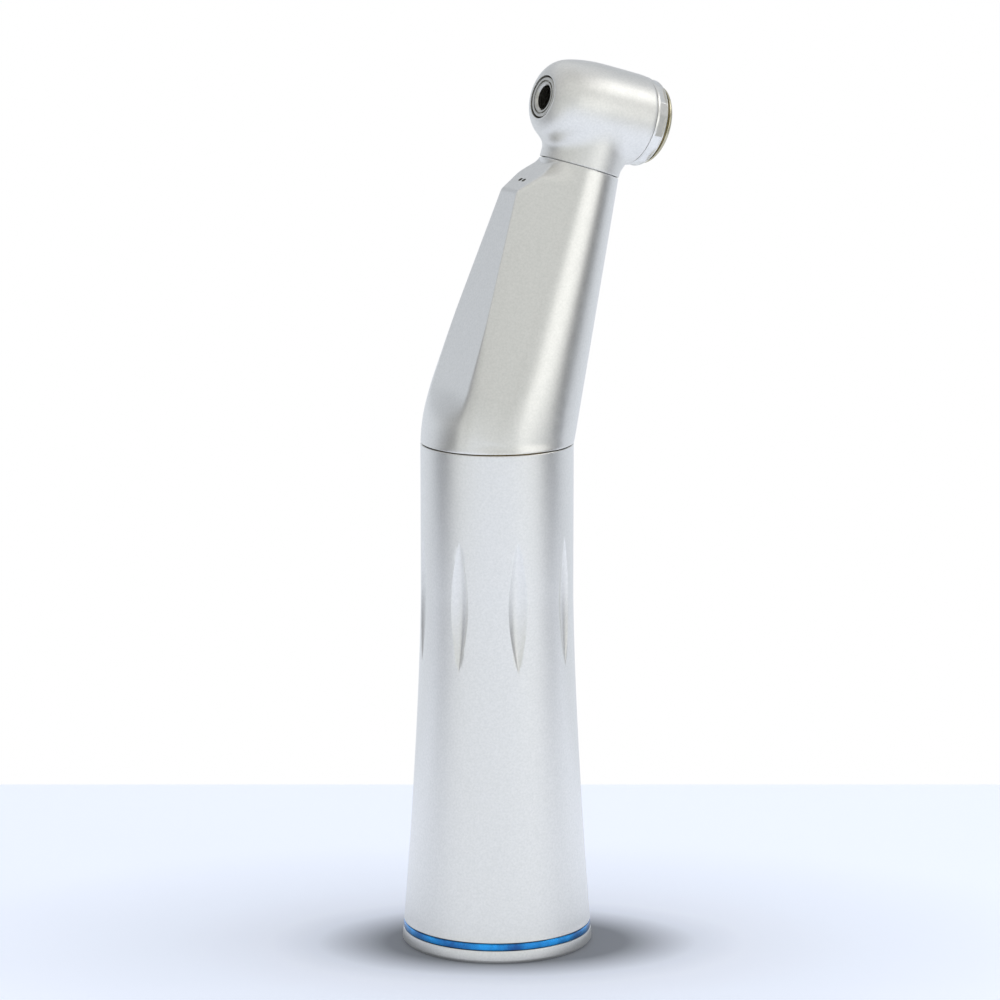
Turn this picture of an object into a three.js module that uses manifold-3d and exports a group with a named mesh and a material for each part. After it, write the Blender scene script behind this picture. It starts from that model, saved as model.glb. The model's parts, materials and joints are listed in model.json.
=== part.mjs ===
// A 1:1 contra-angle dental handpiece, as an assembly of separate solids. Millimetres, +Z up.
//
// The handle stands along +Z with the centre of its rear face at the origin. At the bend the neck
// leans over to +X, and the head on its end carries the bur axis back towards -X, square to the neck
// but for a few degrees. Y = 0 is the plane of symmetry of everything but the grip flutes.
//
// Drive train: motor -> drive dog -> rear shaft -> crown gears at the bend -> neck shaft -> bevel
// gears in the head -> chuck spindle, which holds the bur in a collet opened by the push button.
import * as THREE from "three";
import { mergeVertices } from "three/addons/utils/BufferGeometryUtils.js";
import Module from "manifold-3d";

const wasm = await Module();
wasm.setup();

const DEGREE = Math.PI / 180;
const FIT = 0.05; // gap between neighbouring solids

// Handle.
const BASE_RADIUS = 9.5; // rear end of the handle
const GRIP_RADIUS = 7.55; // slim part of the handle, up to the neck
const FLARE_TOP = 36; // where the flare to the rear begins
const FLARE_POWER = 1.5;
const SLEEVE_WALL = 0.9;
const COLLAR_HEIGHT = 1.3; // rear collar's visible band
const BAND_TOP = 2; // top of the coloured band
const SEAM_HEIGHT = 50.6; // joint between the handle and the neck
const SEAM_GAP = 0.1;

// Grip flutes: shallow, pointed at both ends.
const FLUTE_COUNT = 8;
const FLUTE_START = 212 * DEGREE; // the first one's place round the handle
const FLUTE_LOW = 28.9;
const FLUTE_HIGH = 41.9;
const FLUTE_WIDTH = 1.9;
const FLUTE_DEPTH = 0.4;

// Neck.
const BEND_HEIGHT = 49.1; // where the handle's axis and the neck's axis cross
const NECK_TILT = 18.1 * DEGREE;
const NECK_LENGTH = 29.6; // from the bend to the head's seam, along the neck
const FLAT_DISTANCE = 6.83; // flat on the bur side, from the neck's axis
const FLAT_END = 25.6; // where the flat gives way to the bevel
const FLAT_HALF_WIDTH = 1.54; // at its end
const FLAT_WIDENING = 0.137; // growth of the half width per mm back down the neck
const BEVEL_TOP = 3.43; // the bevel's distance from the neck's axis at the head's seam
const CHANNEL_OFFSET = 5; // water tube's distance from the neck's axis

// Head.
const STEM_RADIUS = 4.03;
const HEAD_RISE = 5.8; // from the head's seam to the bur axis
const BUR_LIFT = 15.4 * DEGREE; // rise of the bur axis above the horizontal
const HEAD_FRONT = 6.15; // housing's front face
const HEAD_REAR = -4.45; // seam between the housing and its cap
// Housing's outside, as [distance along the bur axis, radius].
const HEAD_OUTLINE = [
  [HEAD_REAR, 4.45],
  [-3.7, 4.53],
  [0.6, 4.58],
  [2.2, 4.49],
  [3.3, 4.34],
  [4.1, 4.17],
  [4.7, 3.97],
  [5.2, 3.67],
  [5.6, 3.28],
  [5.9, 2.84],
  [6.1, 2.45],
  [HEAD_FRONT, 2.28],
];
const CAP_REAR = -5.76;
const BUTTON_REAR = -6.87;
const BUTTON_RADIUS = 3.96; // head of the button, outside the cap
const BUTTON_STROKE = 0.4; // it stops just short of the cap
const CHUCK_OPENING = 2.2;
const BUR_RADIUS = 1.175; // a 2.35 mm bur shank

// Inside.
const SOCKET_RADIUS = 5; // for the motor's nose
const TUBE_TOP = 31; // coupling tube
const SHAFT_RADIUS = 1.58;
const RACE_BORE = 1.63;
const RACE_OUTER = 3.175;
const RACE_SEAT = 3.24;
const BALL_PITCH = 2.38;
const BALL_RADIUS = 0.5;
const BALL_COUNT = 7;
const CAGE_INNER = 2.31;
const CAGE_OUTER = 2.5;
const WIDE_BEARING = 2.38;
const NARROW_BEARING = 1.8;
const REAR_BEARINGS = [32.8, 43.2]; // centres, along the handle
const NECK_BEARINGS = [4.6, 29.6]; // centres, along the neck
const HEAD_BEARINGS = [-3.85, 3.75]; // centres, along the bur axis
const BEND_TEETH = 14;
const HEAD_TEETH = 12;

const neckDirection = new THREE.Vector3(Math.sin(NECK_TILT), 0, Math.cos(NECK_TILT));
const burDirection = new THREE.Vector3(-Math.cos(BUR_LIFT), 0, Math.sin(BUR_LIFT));
const neckAxisLength = NECK_LENGTH + HEAD_RISE;
const headAngle = neckDirection.angleTo(burDirection);

// ---------------------------------------------------------------- materials

const finish = (color, roughness, metalness) =>
  new THREE.MeshStandardMaterial({ color, roughness, metalness });

const satinSteel = () => finish(0xd3d5d6, 0.42, 0.9);
const machinedSteel = () => finish(0xb9bcbe, 0.25, 1);
const bearingSteel = () => finish(0xc9ccd0, 0.12, 1);
const gearSteel = () => finish(0x9da0a3, 0.35, 1);
const springSteel = () => finish(0x8c9094, 0.3, 1);
const brass = () => finish(0xc8a552, 0.3, 1);
const paleGold = () => finish(0xcfc8ae, 0.25, 1);
const blueAnodised = () => finish(0x1283d6, 0.25, 0.8);
const rubber = () => finish(0x1b1b1c, 0.8, 0);

// ---------------------------------------------------------------- solids

// Closed three.js geometry to a manifold solid, faces turned outwards.
function solid(geometry) {
  const bare = geometry.index ? geometry.toNonIndexed() : geometry.clone();
  for (const name of Object.keys(bare.attributes)) {
    if (name !== "position") bare.deleteAttribute(name);
  }
  const merged = mergeVertices(bare, 1e-4);
  const triVerts = new Uint32Array(merged.index.array);
  const vertProperties = merged.attributes.position.array;
  const made = new wasm.Manifold(new wasm.Mesh({ numProp: 3, vertProperties, triVerts }));
  if (made.volume() > 0) return made;
  for (let i = 0; i < triVerts.length; i += 3) {
    [triVerts[i + 1], triVerts[i + 2]] = [triVerts[i + 2], triVerts[i + 1]];
  }
  return new wasm.Manifold(new wasm.Mesh({ numProp: 3, vertProperties, triVerts }));
}

// A manifold solid back to three.js geometry.
function geometryOf(made) {
  const mesh = made.getMesh();
  const positions = new Float32Array(mesh.numVert * 3);
  for (let i = 0; i < mesh.numVert; i++) {
    positions.set(mesh.vertProperties.subarray(i * mesh.numProp, i * mesh.numProp + 3), i * 3);
  }
  return new THREE.BufferGeometry()
    .setAttribute("position", new THREE.BufferAttribute(positions, 3))
    .setIndex(new THREE.BufferAttribute(mesh.triVerts, 1));
}

// Turns a [radius, height] outline about Z. A ring's outline is closed on itself; a solid one
// starts and ends at radius 0.
function turned(outline, segments) {
  const closed = outline[0][0] > 0 ? [...outline, outline[0]] : outline;
  const points = closed.map(([radius, height]) => new THREE.Vector2(radius, height));
  return solid(new THREE.LatheGeometry(points, segments).rotateX(Math.PI / 2));
}

const ring = (inner, outer, low, high, segments) =>
  turned([[inner, low], [outer, low], [outer, high], [inner, high]], segments);

const bar = (radius, low, high, segments) =>
  turned([[0, low], [radius, low], [radius, high], [0, high]], segments);

// A box from its two corners.
function block(low, high) {
  const size = high.map((value, i) => value - low[i]);
  const middle = high.map((value, i) => (value + low[i]) / 2);
  return solid(new THREE.BoxGeometry(...size).translate(...middle));
}

// A round bar between two points.
function barBetween(start, end, radius, segments) {
  const along = end.clone().sub(start);
  const turn = new THREE.Quaternion().setFromUnitVectors(
    new THREE.Vector3(0, 1, 0),
    along.clone().normalize(),
  );
  const middle = start.clone().add(end).multiplyScalar(0.5);
  const rod = new THREE.CylinderGeometry(radius, radius, along.length(), segments);
  return solid(rod.applyQuaternion(turn).translate(middle.x, middle.y, middle.z));
}

// A closed skin through rings of points: capped at both ends, or looped round to its start.
function lofted(rings, looped = false) {
  const count = rings[0].length;
  const total = rings.length * count;
  const middle = (points) =>
    points.reduce((sum, p) => sum.add(p), new THREE.Vector3()).divideScalar(count);
  const caps = looped ? [] : [middle(rings[0]), middle(rings.at(-1))];
  const faces = [];
  for (let j = 0; j < count; j++) {
    const next = (j + 1) % count;
    for (let row = 0; row < (looped ? total : total - count); row += count) {
      const above = (row + count) % total;
      faces.push(row + j, row + next, above + j);
      faces.push(row + next, above + next, above + j);
    }
    if (looped) continue;
    faces.push(total, next, j);
    faces.push(total + 1, total - count + j, total - count + next);
  }
  const geometry = new THREE.BufferGeometry().setFromPoints([...rings.flat(), ...caps]);
  return solid(geometry.setIndex(faces));
}

// A wire wound about Z, square-ended.
function coil(coilRadius, wireRadius, low, high, turns, stepsPerTurn) {
  const path = new THREE.Curve();
  path.getPoint = (t, target = new THREE.Vector3()) => {
    const angle = 2 * Math.PI * turns * t;
    const height = low + (high - low) * t;
    return target.set(coilRadius * Math.cos(angle), coilRadius * Math.sin(angle), height);
  };
  const wire = new THREE.Shape().absarc(0, 0, wireRadius, 0, 2 * Math.PI);
  const settings = { steps: Math.round(turns * stepsPerTurn), extrudePath: path, curveSegments: 3 };
  return solid(new THREE.ExtrudeGeometry(wire, settings));
}

// ---------------------------------------------------------------- groups

const model = new THREE.Group();

// The neck's group has its origin at the bend and +Z along the neck; its -X side faces the bur.
const neckGroup = new THREE.Group();
neckGroup.position.set(0, 0, BEND_HEIGHT);
neckGroup.rotation.y = NECK_TILT;
model.add(neckGroup);

// The head's group has its origin where the neck's axis meets the bur axis, +Z towards the bur,
// and -X down the stem.
const headGroup = new THREE.Group();
headGroup.position.copy(neckGroup.position).addScaledVector(neckDirection, neckAxisLength);
headGroup.rotation.y = BUR_LIFT - Math.PI / 2;
model.add(headGroup);

const upright = new THREE.Matrix4().makeRotationY(-NECK_TILT); // the handle's frame, in the neck's

function add(group, name, made, material) {
  const mesh = new THREE.Mesh(geometryOf(made), material);
  mesh.name = name;
  group.add(mesh);
}

// Moves a solid from one group's frame to another's.
function inFrame(made, from, to) {
  model.updateMatrixWorld(true);
  const matrix = to.matrixWorld.clone().invert().multiply(from.matrixWorld);
  return made.transform(matrix.elements);
}

// ---------------------------------------------------------------- ball bearings

// Inner race, outer race, and the balls in their cage, about the group's Z.
function addBearing(group, prefix, centre, width) {
  const half = width / 2;
  const race = (rim, land, groove, segments) =>
    turned(
      [
        [rim, centre - half],
        [rim, centre + half],
        [land, centre + half],
        [land, centre + 0.45],
        [groove, centre + 0.2],
        [groove, centre - 0.2],
        [land, centre - 0.45],
        [land, centre - half],
      ],
      segments,
    );
  add(group, prefix + "_inner_race", race(RACE_BORE, 2.05, 1.84, 14), bearingSteel());
  add(group, prefix + "_outer_race", race(RACE_OUTER, 2.71, 2.935, 18), bearingSteel());
  let cage = ring(CAGE_INNER, CAGE_OUTER, centre - 0.25, centre + 0.25, BALL_COUNT);
  for (let i = 0; i < BALL_COUNT; i++) {
    const angle = (2 * Math.PI * i) / BALL_COUNT - Math.PI / 2;
    const ball = new THREE.SphereGeometry(BALL_RADIUS, 6, 4).translate(
      BALL_PITCH * Math.cos(angle),
      BALL_PITCH * Math.sin(angle),
      centre,
    );
    cage = cage.add(solid(ball));
  }
  add(group, prefix + "_cage", cage, brass());
}

// ---------------------------------------------------------------- gears

// A bevel gear about Z with the apex of its pitch cone at the origin and its body below. Lengths
// along the cone are distances from the apex.
function bevelGear({ teeth, halfAngle, inner, outer, addendum, dedendum, bore, back, hub, phase }) {
  const sin = Math.sin(halfAngle);
  const cos = Math.cos(halfAngle);
  // Point on the gear at a distance along the cone and a height off it.
  const onCone = (distance, height) => {
    const scaled = (height * distance) / outer;
    return [distance * sin + scaled * cos, scaled * sin - distance * cos];
  };
  const root = onCone(outer, -dedendum);
  const rootInner = onCone(inner, -dedendum);
  let gear = turned(
    [
      [bore, rootInner[1]],
      rootInner,
      root,
      [root[0], root[1] - 0.35],
      [hub, back],
      [bore, back],
    ],
    teeth,
  );
  const pitch = (2 * Math.PI * outer * sin) / teeth;
  const flank = Math.tan(20 * DEGREE);
  const halfThickness = 0.21 * pitch;
  const buried = dedendum + 0.08;
  const section = (distance) => {
    const scale = distance / outer;
    const [lowRadius, lowHeight] = onCone(distance, -buried);
    const [highRadius, highHeight] = onCone(distance, addendum);
    const low = (halfThickness + buried * flank) * scale;
    const high = (halfThickness - addendum * flank) * scale;
    return [
      new THREE.Vector3(lowRadius, -low, lowHeight),
      new THREE.Vector3(lowRadius, low, lowHeight),
      new THREE.Vector3(highRadius, high, highHeight),
      new THREE.Vector3(highRadius, -high, highHeight),
    ];
  };
  const around = new THREE.Vector3(0, 0, 1);
  for (let i = 0; i < teeth; i++) {
    const angle = (2 * Math.PI * i) / teeth + phase;
    const turn = (points) => points.map((p) => p.applyAxisAngle(around, angle));
    gear = gear.add(lofted([turn(section(inner)), turn(section(outer))]));
  }
  return gear;
}

const flipped = (made) => made.transform(new THREE.Matrix4().makeRotationX(Math.PI).elements);

// ---------------------------------------------------------------- handle

function handleRadius(height) {
  const share = Math.max(0, (FLARE_TOP - height) / FLARE_TOP);
  return GRIP_RADIUS + (BASE_RADIUS - GRIP_RADIUS) * share ** FLARE_POWER;
}

// What one grip flute takes away: widest and deepest half way up, nothing at its ends.
function fluteCutter(angle) {
  const steps = 6;
  const centre = (FLUTE_LOW + FLUTE_HIGH) / 2;
  const halfLength = (FLUTE_HIGH - FLUTE_LOW) / 2;
  const radial = new THREE.Vector3(Math.cos(angle), Math.sin(angle), 0);
  const tangent = new THREE.Vector3(-Math.sin(angle), Math.cos(angle), 0);
  const rings = [];
  for (let i = 0; i <= steps; i++) {
    const along = -Math.cos((Math.PI * i) / steps);
    const size = Math.max(1 - along * along, 0.01);
    const width = (FLUTE_WIDTH / 2) * size;
    const depth = FLUTE_DEPTH * size;
    const height = centre + halfLength * along;
    const point = (side, out) =>
      radial
        .clone()
        .multiplyScalar(handleRadius(height) + out)
        .addScaledVector(tangent, side)
        .setZ(height);
    rings.push([
      point(-1.6 * width, 0.9 * depth),
      point(-0.45 * width, -0.85 * depth),
      point(0, -depth),
      point(0.45 * width, -0.85 * depth),
      point(1.6 * width, 0.9 * depth),
    ]);
  }
  return lofted(rings);
}

const SLEEVE_SEGMENTS = 40;
const NUT_INNER = 5.95;
const NUT_OUTER = 6.6;
const SPIGOT_RADIUS = 8.4;

function handleSleeve() {
  const low = BAND_TOP + FIT;
  const high = SEAM_HEIGHT - SEAM_GAP / 2;
  const shoulder = 6.1;
  const outside = [low, 8, 14, 20, 26, 31, FLARE_TOP, high];
  const inside = [FLARE_TOP, 28, 18, shoulder];
  let sleeve = turned(
    [
      ...outside.map((height) => [handleRadius(height), height]),
      [NUT_OUTER + FIT, high],
      ...inside.map((height) => [handleRadius(height) - SLEEVE_WALL, height]),
      [SPIGOT_RADIUS + FIT, shoulder],
      [SPIGOT_RADIUS + FIT, low],
    ],
    SLEEVE_SEGMENTS,
  );
  for (let i = 0; i < FLUTE_COUNT; i++) {
    sleeve = sleeve.subtract(fluteCutter(FLUTE_START + (2 * Math.PI * i) / FLUTE_COUNT));
  }
  return sleeve;
}

function rearCollar() {
  const chamfer = 0.25;
  const bore = 5.95;
  return turned(
    [
      [bore, 0],
      [BASE_RADIUS - chamfer, 0],
      [BASE_RADIUS, chamfer],
      [handleRadius(COLLAR_HEIGHT), COLLAR_HEIGHT],
      [SPIGOT_RADIUS, COLLAR_HEIGHT],
      [SPIGOT_RADIUS, 6],
      [SPIGOT_RADIUS - 0.7, 6],
      [SPIGOT_RADIUS - 0.7, 3],
      [bore, 3],
    ],
    SLEEVE_SEGMENTS,
  );
}

function ratioRing() {
  const low = COLLAR_HEIGHT + FIT;
  return turned(
    [
      [SPIGOT_RADIUS + FIT, low],
      [handleRadius(low), low],
      [handleRadius(BAND_TOP), BAND_TOP],
      [SPIGOT_RADIUS + FIT, BAND_TOP],
    ],
    SLEEVE_SEGMENTS,
  );
}

// Takes the motor's nose, with the snap groove that holds it and the port that feeds the water tube.
function couplingTube() {
  const outer = 5.9;
  const groove = 18;
  const tube = turned(
    [
      [SOCKET_RADIUS + 0.4, 0.3],
      [outer, 0.3],
      [outer, TUBE_TOP],
      [SOCKET_RADIUS, TUBE_TOP],
      [SOCKET_RADIUS, groove + 1.2],
      [SOCKET_RADIUS + 0.3, groove + 0.9],
      [SOCKET_RADIUS + 0.3, groove + 0.3],
      [SOCKET_RADIUS, groove],
      [SOCKET_RADIUS, 0.7],
    ],
    28,
  );
  const port = barBetween(
    new THREE.Vector3(-outer - 1, 0, WATER_PORT),
    new THREE.Vector3(-4, 0, WATER_PORT),
    TUBE_RADIUS,
    8,
  );
  return tube.subtract(port);
}

const HOLDER_BASE = 27;
const HOLDER_TOP = 45.2;
const CLIP_HEIGHT = 44.5;
const CLIP_RADIUS = 3.42;

// Carries both rear bearings. Its foot plugs into the coupling tube.
function bearingHolder() {
  const foot = SOCKET_RADIUS - FIT;
  const body = 4.6;
  const waist = [REAR_BEARINGS[0] + 1.25, REAR_BEARINGS[1] - 1.25];
  return turned(
    [
      [RACE_SEAT, HOLDER_BASE],
      [foot, HOLDER_BASE],
      [foot, TUBE_TOP + FIT],
      [foot + 0.6, TUBE_TOP + FIT],
      [foot + 0.6, TUBE_TOP + 1],
      [body, TUBE_TOP + 1],
      [body, HOLDER_TOP],
      [RACE_SEAT, HOLDER_TOP],
      [RACE_SEAT, CLIP_HEIGHT + 0.4],
      [CLIP_RADIUS, CLIP_HEIGHT + 0.4],
      [CLIP_RADIUS, CLIP_HEIGHT],
      [RACE_SEAT, CLIP_HEIGHT],
      [RACE_SEAT, waist[1]],
      [2.8, waist[1]],
      [2.8, waist[0]],
      [RACE_SEAT, waist[0]],
    ],
    24,
  );
}

// Open ring that springs into the holder's groove, in front of the bearing.
function bearingClip() {
  const low = CLIP_HEIGHT + FIT;
  const high = CLIP_HEIGHT + 0.35;
  const clip = ring(2.7, CLIP_RADIUS - FIT, low, high, 32);
  return clip.subtract(block([-0.5, 2, low - 1], [0.5, 4, high + 1]));
}

const NUT_BASE = 43;
const NUT_TOP = 52.8;
const SEAL_HEIGHT = 51.8;

// Threaded ring that draws the neck onto the handle, with a groove for its seal.
function jointNut() {
  return turned(
    [
      [NUT_INNER, NUT_BASE],
      [NUT_OUTER, NUT_BASE],
      [NUT_OUTER, SEAL_HEIGHT - 0.3],
      [NUT_OUTER - 0.45, SEAL_HEIGHT - 0.3],
      [NUT_OUTER - 0.45, SEAL_HEIGHT + 0.3],
      [NUT_OUTER, SEAL_HEIGHT + 0.3],
      [NUT_OUTER, NUT_TOP],
      [NUT_INNER, NUT_TOP],
    ],
    28,
  );
}

function jointSeal() {
  const radius = 0.19;
  const section = [0, 1, 2, 3, 4, 5].map((i) => [
    NUT_OUTER - 0.17 + radius * Math.cos((i * Math.PI) / 3),
    SEAL_HEIGHT + radius * Math.sin((i * Math.PI) / 3),
  ]);
  return turned(section, 24);
}

// ---------------------------------------------------------------- rear drive

const WATER_PORT = 21;
const TUBE_RADIUS = 0.33;
const SHAFT_BASE = 24.6;
const SHAFT_TOP = 47.6;
const GEAR_BORE = 1.25;
const PIN_HEIGHT = 26.4;
const PIN_RADIUS = 0.35;
const DOG_STROKE = 1.5;
const DOG_BASE = 23.4;
const DOG_TOP = 28;
const DOG_RADIUS = 2.4;

const pinHole = (radius, height) =>
  barBetween(new THREE.Vector3(-4, 0, height), new THREE.Vector3(4, 0, height), radius, 12);

// Shaft with a collar that the dog's spring bears on, and a cross hole for the dog's pin.
function rearShaft() {
  const collarLow = REAR_BEARINGS[0] - WIDE_BEARING / 2 - 0.55;
  const collarHigh = REAR_BEARINGS[0] - WIDE_BEARING / 2 - FIT;
  const shaft = turned(
    [
      [0, SHAFT_BASE],
      [SHAFT_RADIUS, SHAFT_BASE],
      [SHAFT_RADIUS, collarLow],
      [2, collarLow],
      [2, collarHigh],
      [SHAFT_RADIUS, collarHigh],
      [SHAFT_RADIUS, BEND_HEIGHT - CROWN_DEPTH - FIT],
      [GEAR_BORE - 0.06, BEND_HEIGHT - CROWN_DEPTH - FIT],
      [GEAR_BORE - 0.06, SHAFT_TOP],
      [0, SHAFT_TOP],
    ],
    16,
  );
  return shaft.subtract(pinHole(PIN_RADIUS + 0.03, PIN_HEIGHT));
}

// Clutch sleeve the motor drives: two claws at its foot, slots that let it slide over the pin.
function driveDog() {
  const clawTop = DOG_BASE + 1.2;
  let dog = ring(SHAFT_RADIUS + 0.07, DOG_RADIUS, DOG_BASE, DOG_TOP, 24);
  dog = dog.subtract(block([-4, -0.9, DOG_BASE - 1], [4, 0.9, clawTop]));
  const slotLow = PIN_HEIGHT - DOG_STROKE - PIN_RADIUS - 0.08;
  const slotHigh = PIN_HEIGHT + PIN_RADIUS + 0.08;
  const halfSlot = PIN_RADIUS + 0.05;
  return dog.subtract(block([-4, -halfSlot, slotLow], [4, halfSlot, slotHigh]));
}

const CROWN_DEPTH = 3.2; // back of each crown gear, from the bend
const bendHalfAngle = (Math.PI - NECK_TILT) / 2;

const crownGear = (phase) =>
  bevelGear({
    teeth: BEND_TEETH,
    halfAngle: bendHalfAngle,
    inner: 2,
    outer: 3.4,
    addendum: 0.26,
    dedendum: 0.36,
    bore: GEAR_BORE,
    back: -CROWN_DEPTH,
    hub: 2,
    phase,
  });

// ---------------------------------------------------------------- neck

const smooth = (t) => {
  const clamped = Math.min(1, Math.max(0, t));
  return clamped * clamped * (3 - 2 * clamped);
};

const mix = (from, to, share) => from + (to - from) * share;

// Sections of the neck are measured at an angle from the bur side. The upper ones are a circle with a
// flat outside it, and faces that run from the flat's edges to touch the circle. The flat is crowned
// where it starts.
function flatReach(angle, { radius, distance, crown, flatAngle, touchAngle }) {
  const bulge = crown * (1 - (angle / flatAngle) ** 2);
  if (angle <= flatAngle) return (distance + bulge) / Math.cos(angle);
  return angle < touchAngle ? radius / Math.cos(touchAngle - angle) : radius;
}

// The lowest ones follow the handle's own cylinder on the bur side.
function cylinderReach(angle, { radius, lean, middleX }) {
  const inwards = Math.cos(angle) * Math.cos(lean);
  const scale = inwards ** 2 + Math.sin(angle) ** 2;
  const half = middleX * inwards;
  const reach = (half + Math.sqrt(half * half + scale * (GRIP_RADIUS ** 2 - middleX ** 2))) / scale;
  return mix(radius, Math.max(radius, reach), smooth((110 * DEGREE - angle) / (40 * DEGREE)));
}

// One section, at a share of the way from the handle's seam to the head's.
function neckSection(share) {
  const start = SEAM_HEIGHT + SEAM_GAP / 2 - BEND_HEIGHT;
  const end = new THREE.Vector3(0, 0, NECK_LENGTH - SEAM_GAP / 2);
  const middle = new THREE.Vector3(0, 0, start).applyMatrix4(upright).lerp(end, share);
  const lean = NECK_TILT * smooth(share / 0.1);
  const middleX = middle.x * Math.cos(NECK_TILT) + middle.z * Math.sin(NECK_TILT);
  const radius = mix(GRIP_RADIUS, STEM_RADIUS, share);
  const onCylinder = (GRIP_RADIUS + middleX) / Math.cos(lean);
  const plane = FLAT_DISTANCE + middle.x;
  const distance = mix(onCylinder, plane, smooth(share / 0.07));
  const crown = mix(onCylinder, plane, smooth(share / 0.22)) - distance;
  const flatX = Math.min(GRIP_RADIUS, distance * Math.cos(lean) - middleX);
  const chord = Math.sqrt(GRIP_RADIUS ** 2 - flatX ** 2);
  const tapered = FLAT_HALF_WIDTH + FLAT_WIDENING * (FLAT_END - middle.z);
  const halfWidth = mix(chord, Math.min(chord, tapered), smooth((share - 0.03) / 0.08));
  const flatAngle = Math.max(Math.atan2(halfWidth, distance), 2 * DEGREE);
  const corner = distance / Math.cos(flatAngle);
  const touchAngle = flatAngle + Math.acos(Math.min(1, radius / corner));
  return { middle, middleX, lean, radius, distance, crown, flatAngle, touchAngle };
}

// The neck's outside, from the circle at the handle's seam to the circle at the head's.
function neckOutside() {
  const shares = [
    0, 0.02, 0.04, 0.06, 0.08, 0.105, 0.135, 0.17, 0.22, 0.35, 0.6, 0.855, 0.9, 0.95, 1,
  ];
  const flatEndShare = 0.855;
  const fractions = (count) => Array.from({ length: count }, (_, i) => i / count);
  const rings = shares.map((share) => {
    const section = neckSection(share);
    const { flatAngle, touchAngle, middle, radius } = section;
    const shown = Math.max(touchAngle, 60 * DEGREE);
    const half = [
      ...fractions(3).map((t) => flatAngle * t),
      ...fractions(5).map((t) => mix(flatAngle, shown, t)),
      ...fractions(12).map((t) => mix(shown, Math.PI, t)),
      Math.PI,
    ];
    const fade = 1 - smooth((share - flatEndShare) / (1 - flatEndShare));
    const onCylinder = 1 - smooth((share - 0.04) / 0.07);
    const lean = section.lean - NECK_TILT;
    return [...half, ...half.slice(1, -1).reverse().map((angle) => -angle)].map((angle) => {
      const turn = Math.abs(angle);
      const flat = flatReach(turn, section);
      const followed = onCylinder > 0 && turn > flatAngle;
      const low = followed ? cylinderReach(turn, section) : flat;
      const reach = mix(radius, mix(flat, low, onCylinder), fade);
      return new THREE.Vector3(
        middle.x - reach * Math.cos(angle) * Math.cos(lean),
        reach * Math.sin(angle),
        middle.z + reach * Math.cos(angle) * Math.sin(lean),
      );
    });
  });
  return lofted(rings);
}

const bevelSlope = Math.atan2(FLAT_DISTANCE - BEVEL_TOP, NECK_LENGTH - FLAT_END);

// What the bevel takes away, beyond a plane from the end of the flat to the head's seam. A round
// core as wide as the head's stem is left.
function bevelCutter() {
  const body = block([-20, -15, 0], [0, 15, 20]);
  const core = bar(STEM_RADIUS - 0.08, FLAT_END - 2, NECK_LENGTH + 2, 40);
  const matrix = new THREE.Matrix4()
    .makeTranslation(-FLAT_DISTANCE, 0, FLAT_END)
    .multiply(new THREE.Matrix4().makeRotationY(bevelSlope));
  return body.transform(matrix.elements).subtract(core);
}

// Two spray holes, square to the bevel, from the end of the water channel.
function sprayHoles() {
  const outwards = new THREE.Vector3(-Math.cos(bevelSlope), 0, Math.sin(bevelSlope));
  const hole = (side) => {
    const start = new THREE.Vector3(-CHANNEL_OFFSET, side, FLAT_END + 0.5);
    return barBetween(start, start.clone().addScaledVector(outwards, 4), 0.2, 10);
  };
  return hole(-0.33).add(hole(0.33));
}

const NECK_BORE_TOP = 3.62;

function neckSleeve() {
  const bore = turned(
    [
      [0, -3],
      [5.6, -3],
      [5.6, 4],
      [NECK_BORE_TOP, NECK_LENGTH + 0.5],
      [0, NECK_LENGTH + 0.5],
    ],
    28,
  );
  const nutBore = bar(NUT_OUTER + FIT, 45, NUT_TOP + 0.1, 36);
  const channel = barBetween(
    new THREE.Vector3(-CHANNEL_OFFSET, 0, 1),
    new THREE.Vector3(-CHANNEL_OFFSET, 0, FLAT_END + 0.9),
    TUBE_RADIUS + 0.1,
    12,
  );
  return neckOutside()
    .subtract(bevelCutter())
    .subtract(bore)
    .subtract(inFrame(nutBore, model, neckGroup))
    .subtract(channel)
    .subtract(sprayHoles());
}

// Carries both neck bearings and runs on into the head's stem.
function neckTube() {
  const [rear, front] = NECK_BEARINGS;
  const half = WIDE_BEARING / 2 + FIT;
  const end = 31.3;
  const spigot = NECK_BORE_TOP - FIT;
  return turned(
    [
      [RACE_SEAT, rear - half],
      [4.2, rear - half],
      [4.2, rear + half + 0.4],
      [2.9, rear + half + 2.2],
      [2.9, front - half - 2],
      [spigot, front - half - 0.6],
      [spigot, end],
      [RACE_SEAT, end],
      [RACE_SEAT, front - half],
      [2.2, front - half],
      [2.2, rear + half],
      [RACE_SEAT, rear + half],
    ],
    24,
  );
}

const headHalfAngle = neckDirection.clone().negate().angleTo(burDirection.clone().negate()) / 2;
const PINION_DEPTH = 3.1; // back of each head gear, from the apex

const headGear = (phase, bore, hub, back) =>
  bevelGear({
    teeth: HEAD_TEETH,
    halfAngle: headHalfAngle,
    inner: 2.65,
    outer: 3.6,
    addendum: 0.22,
    dedendum: 0.3,
    bore,
    back,
    hub,
    phase,
  });

function neckShaft() {
  const step = GEAR_BORE - 0.06;
  const gearBack = CROWN_DEPTH + FIT;
  const top = neckAxisLength - 2.1;
  const pinionBack = neckAxisLength - PINION_DEPTH - 0.4;
  return turned(
    [
      [0, 1.4],
      [step, 1.4],
      [step, gearBack],
      [SHAFT_RADIUS, gearBack],
      [SHAFT_RADIUS, pinionBack],
      [step, pinionBack],
      [step, top],
      [0, top],
    ],
    16,
  );
}

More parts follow.
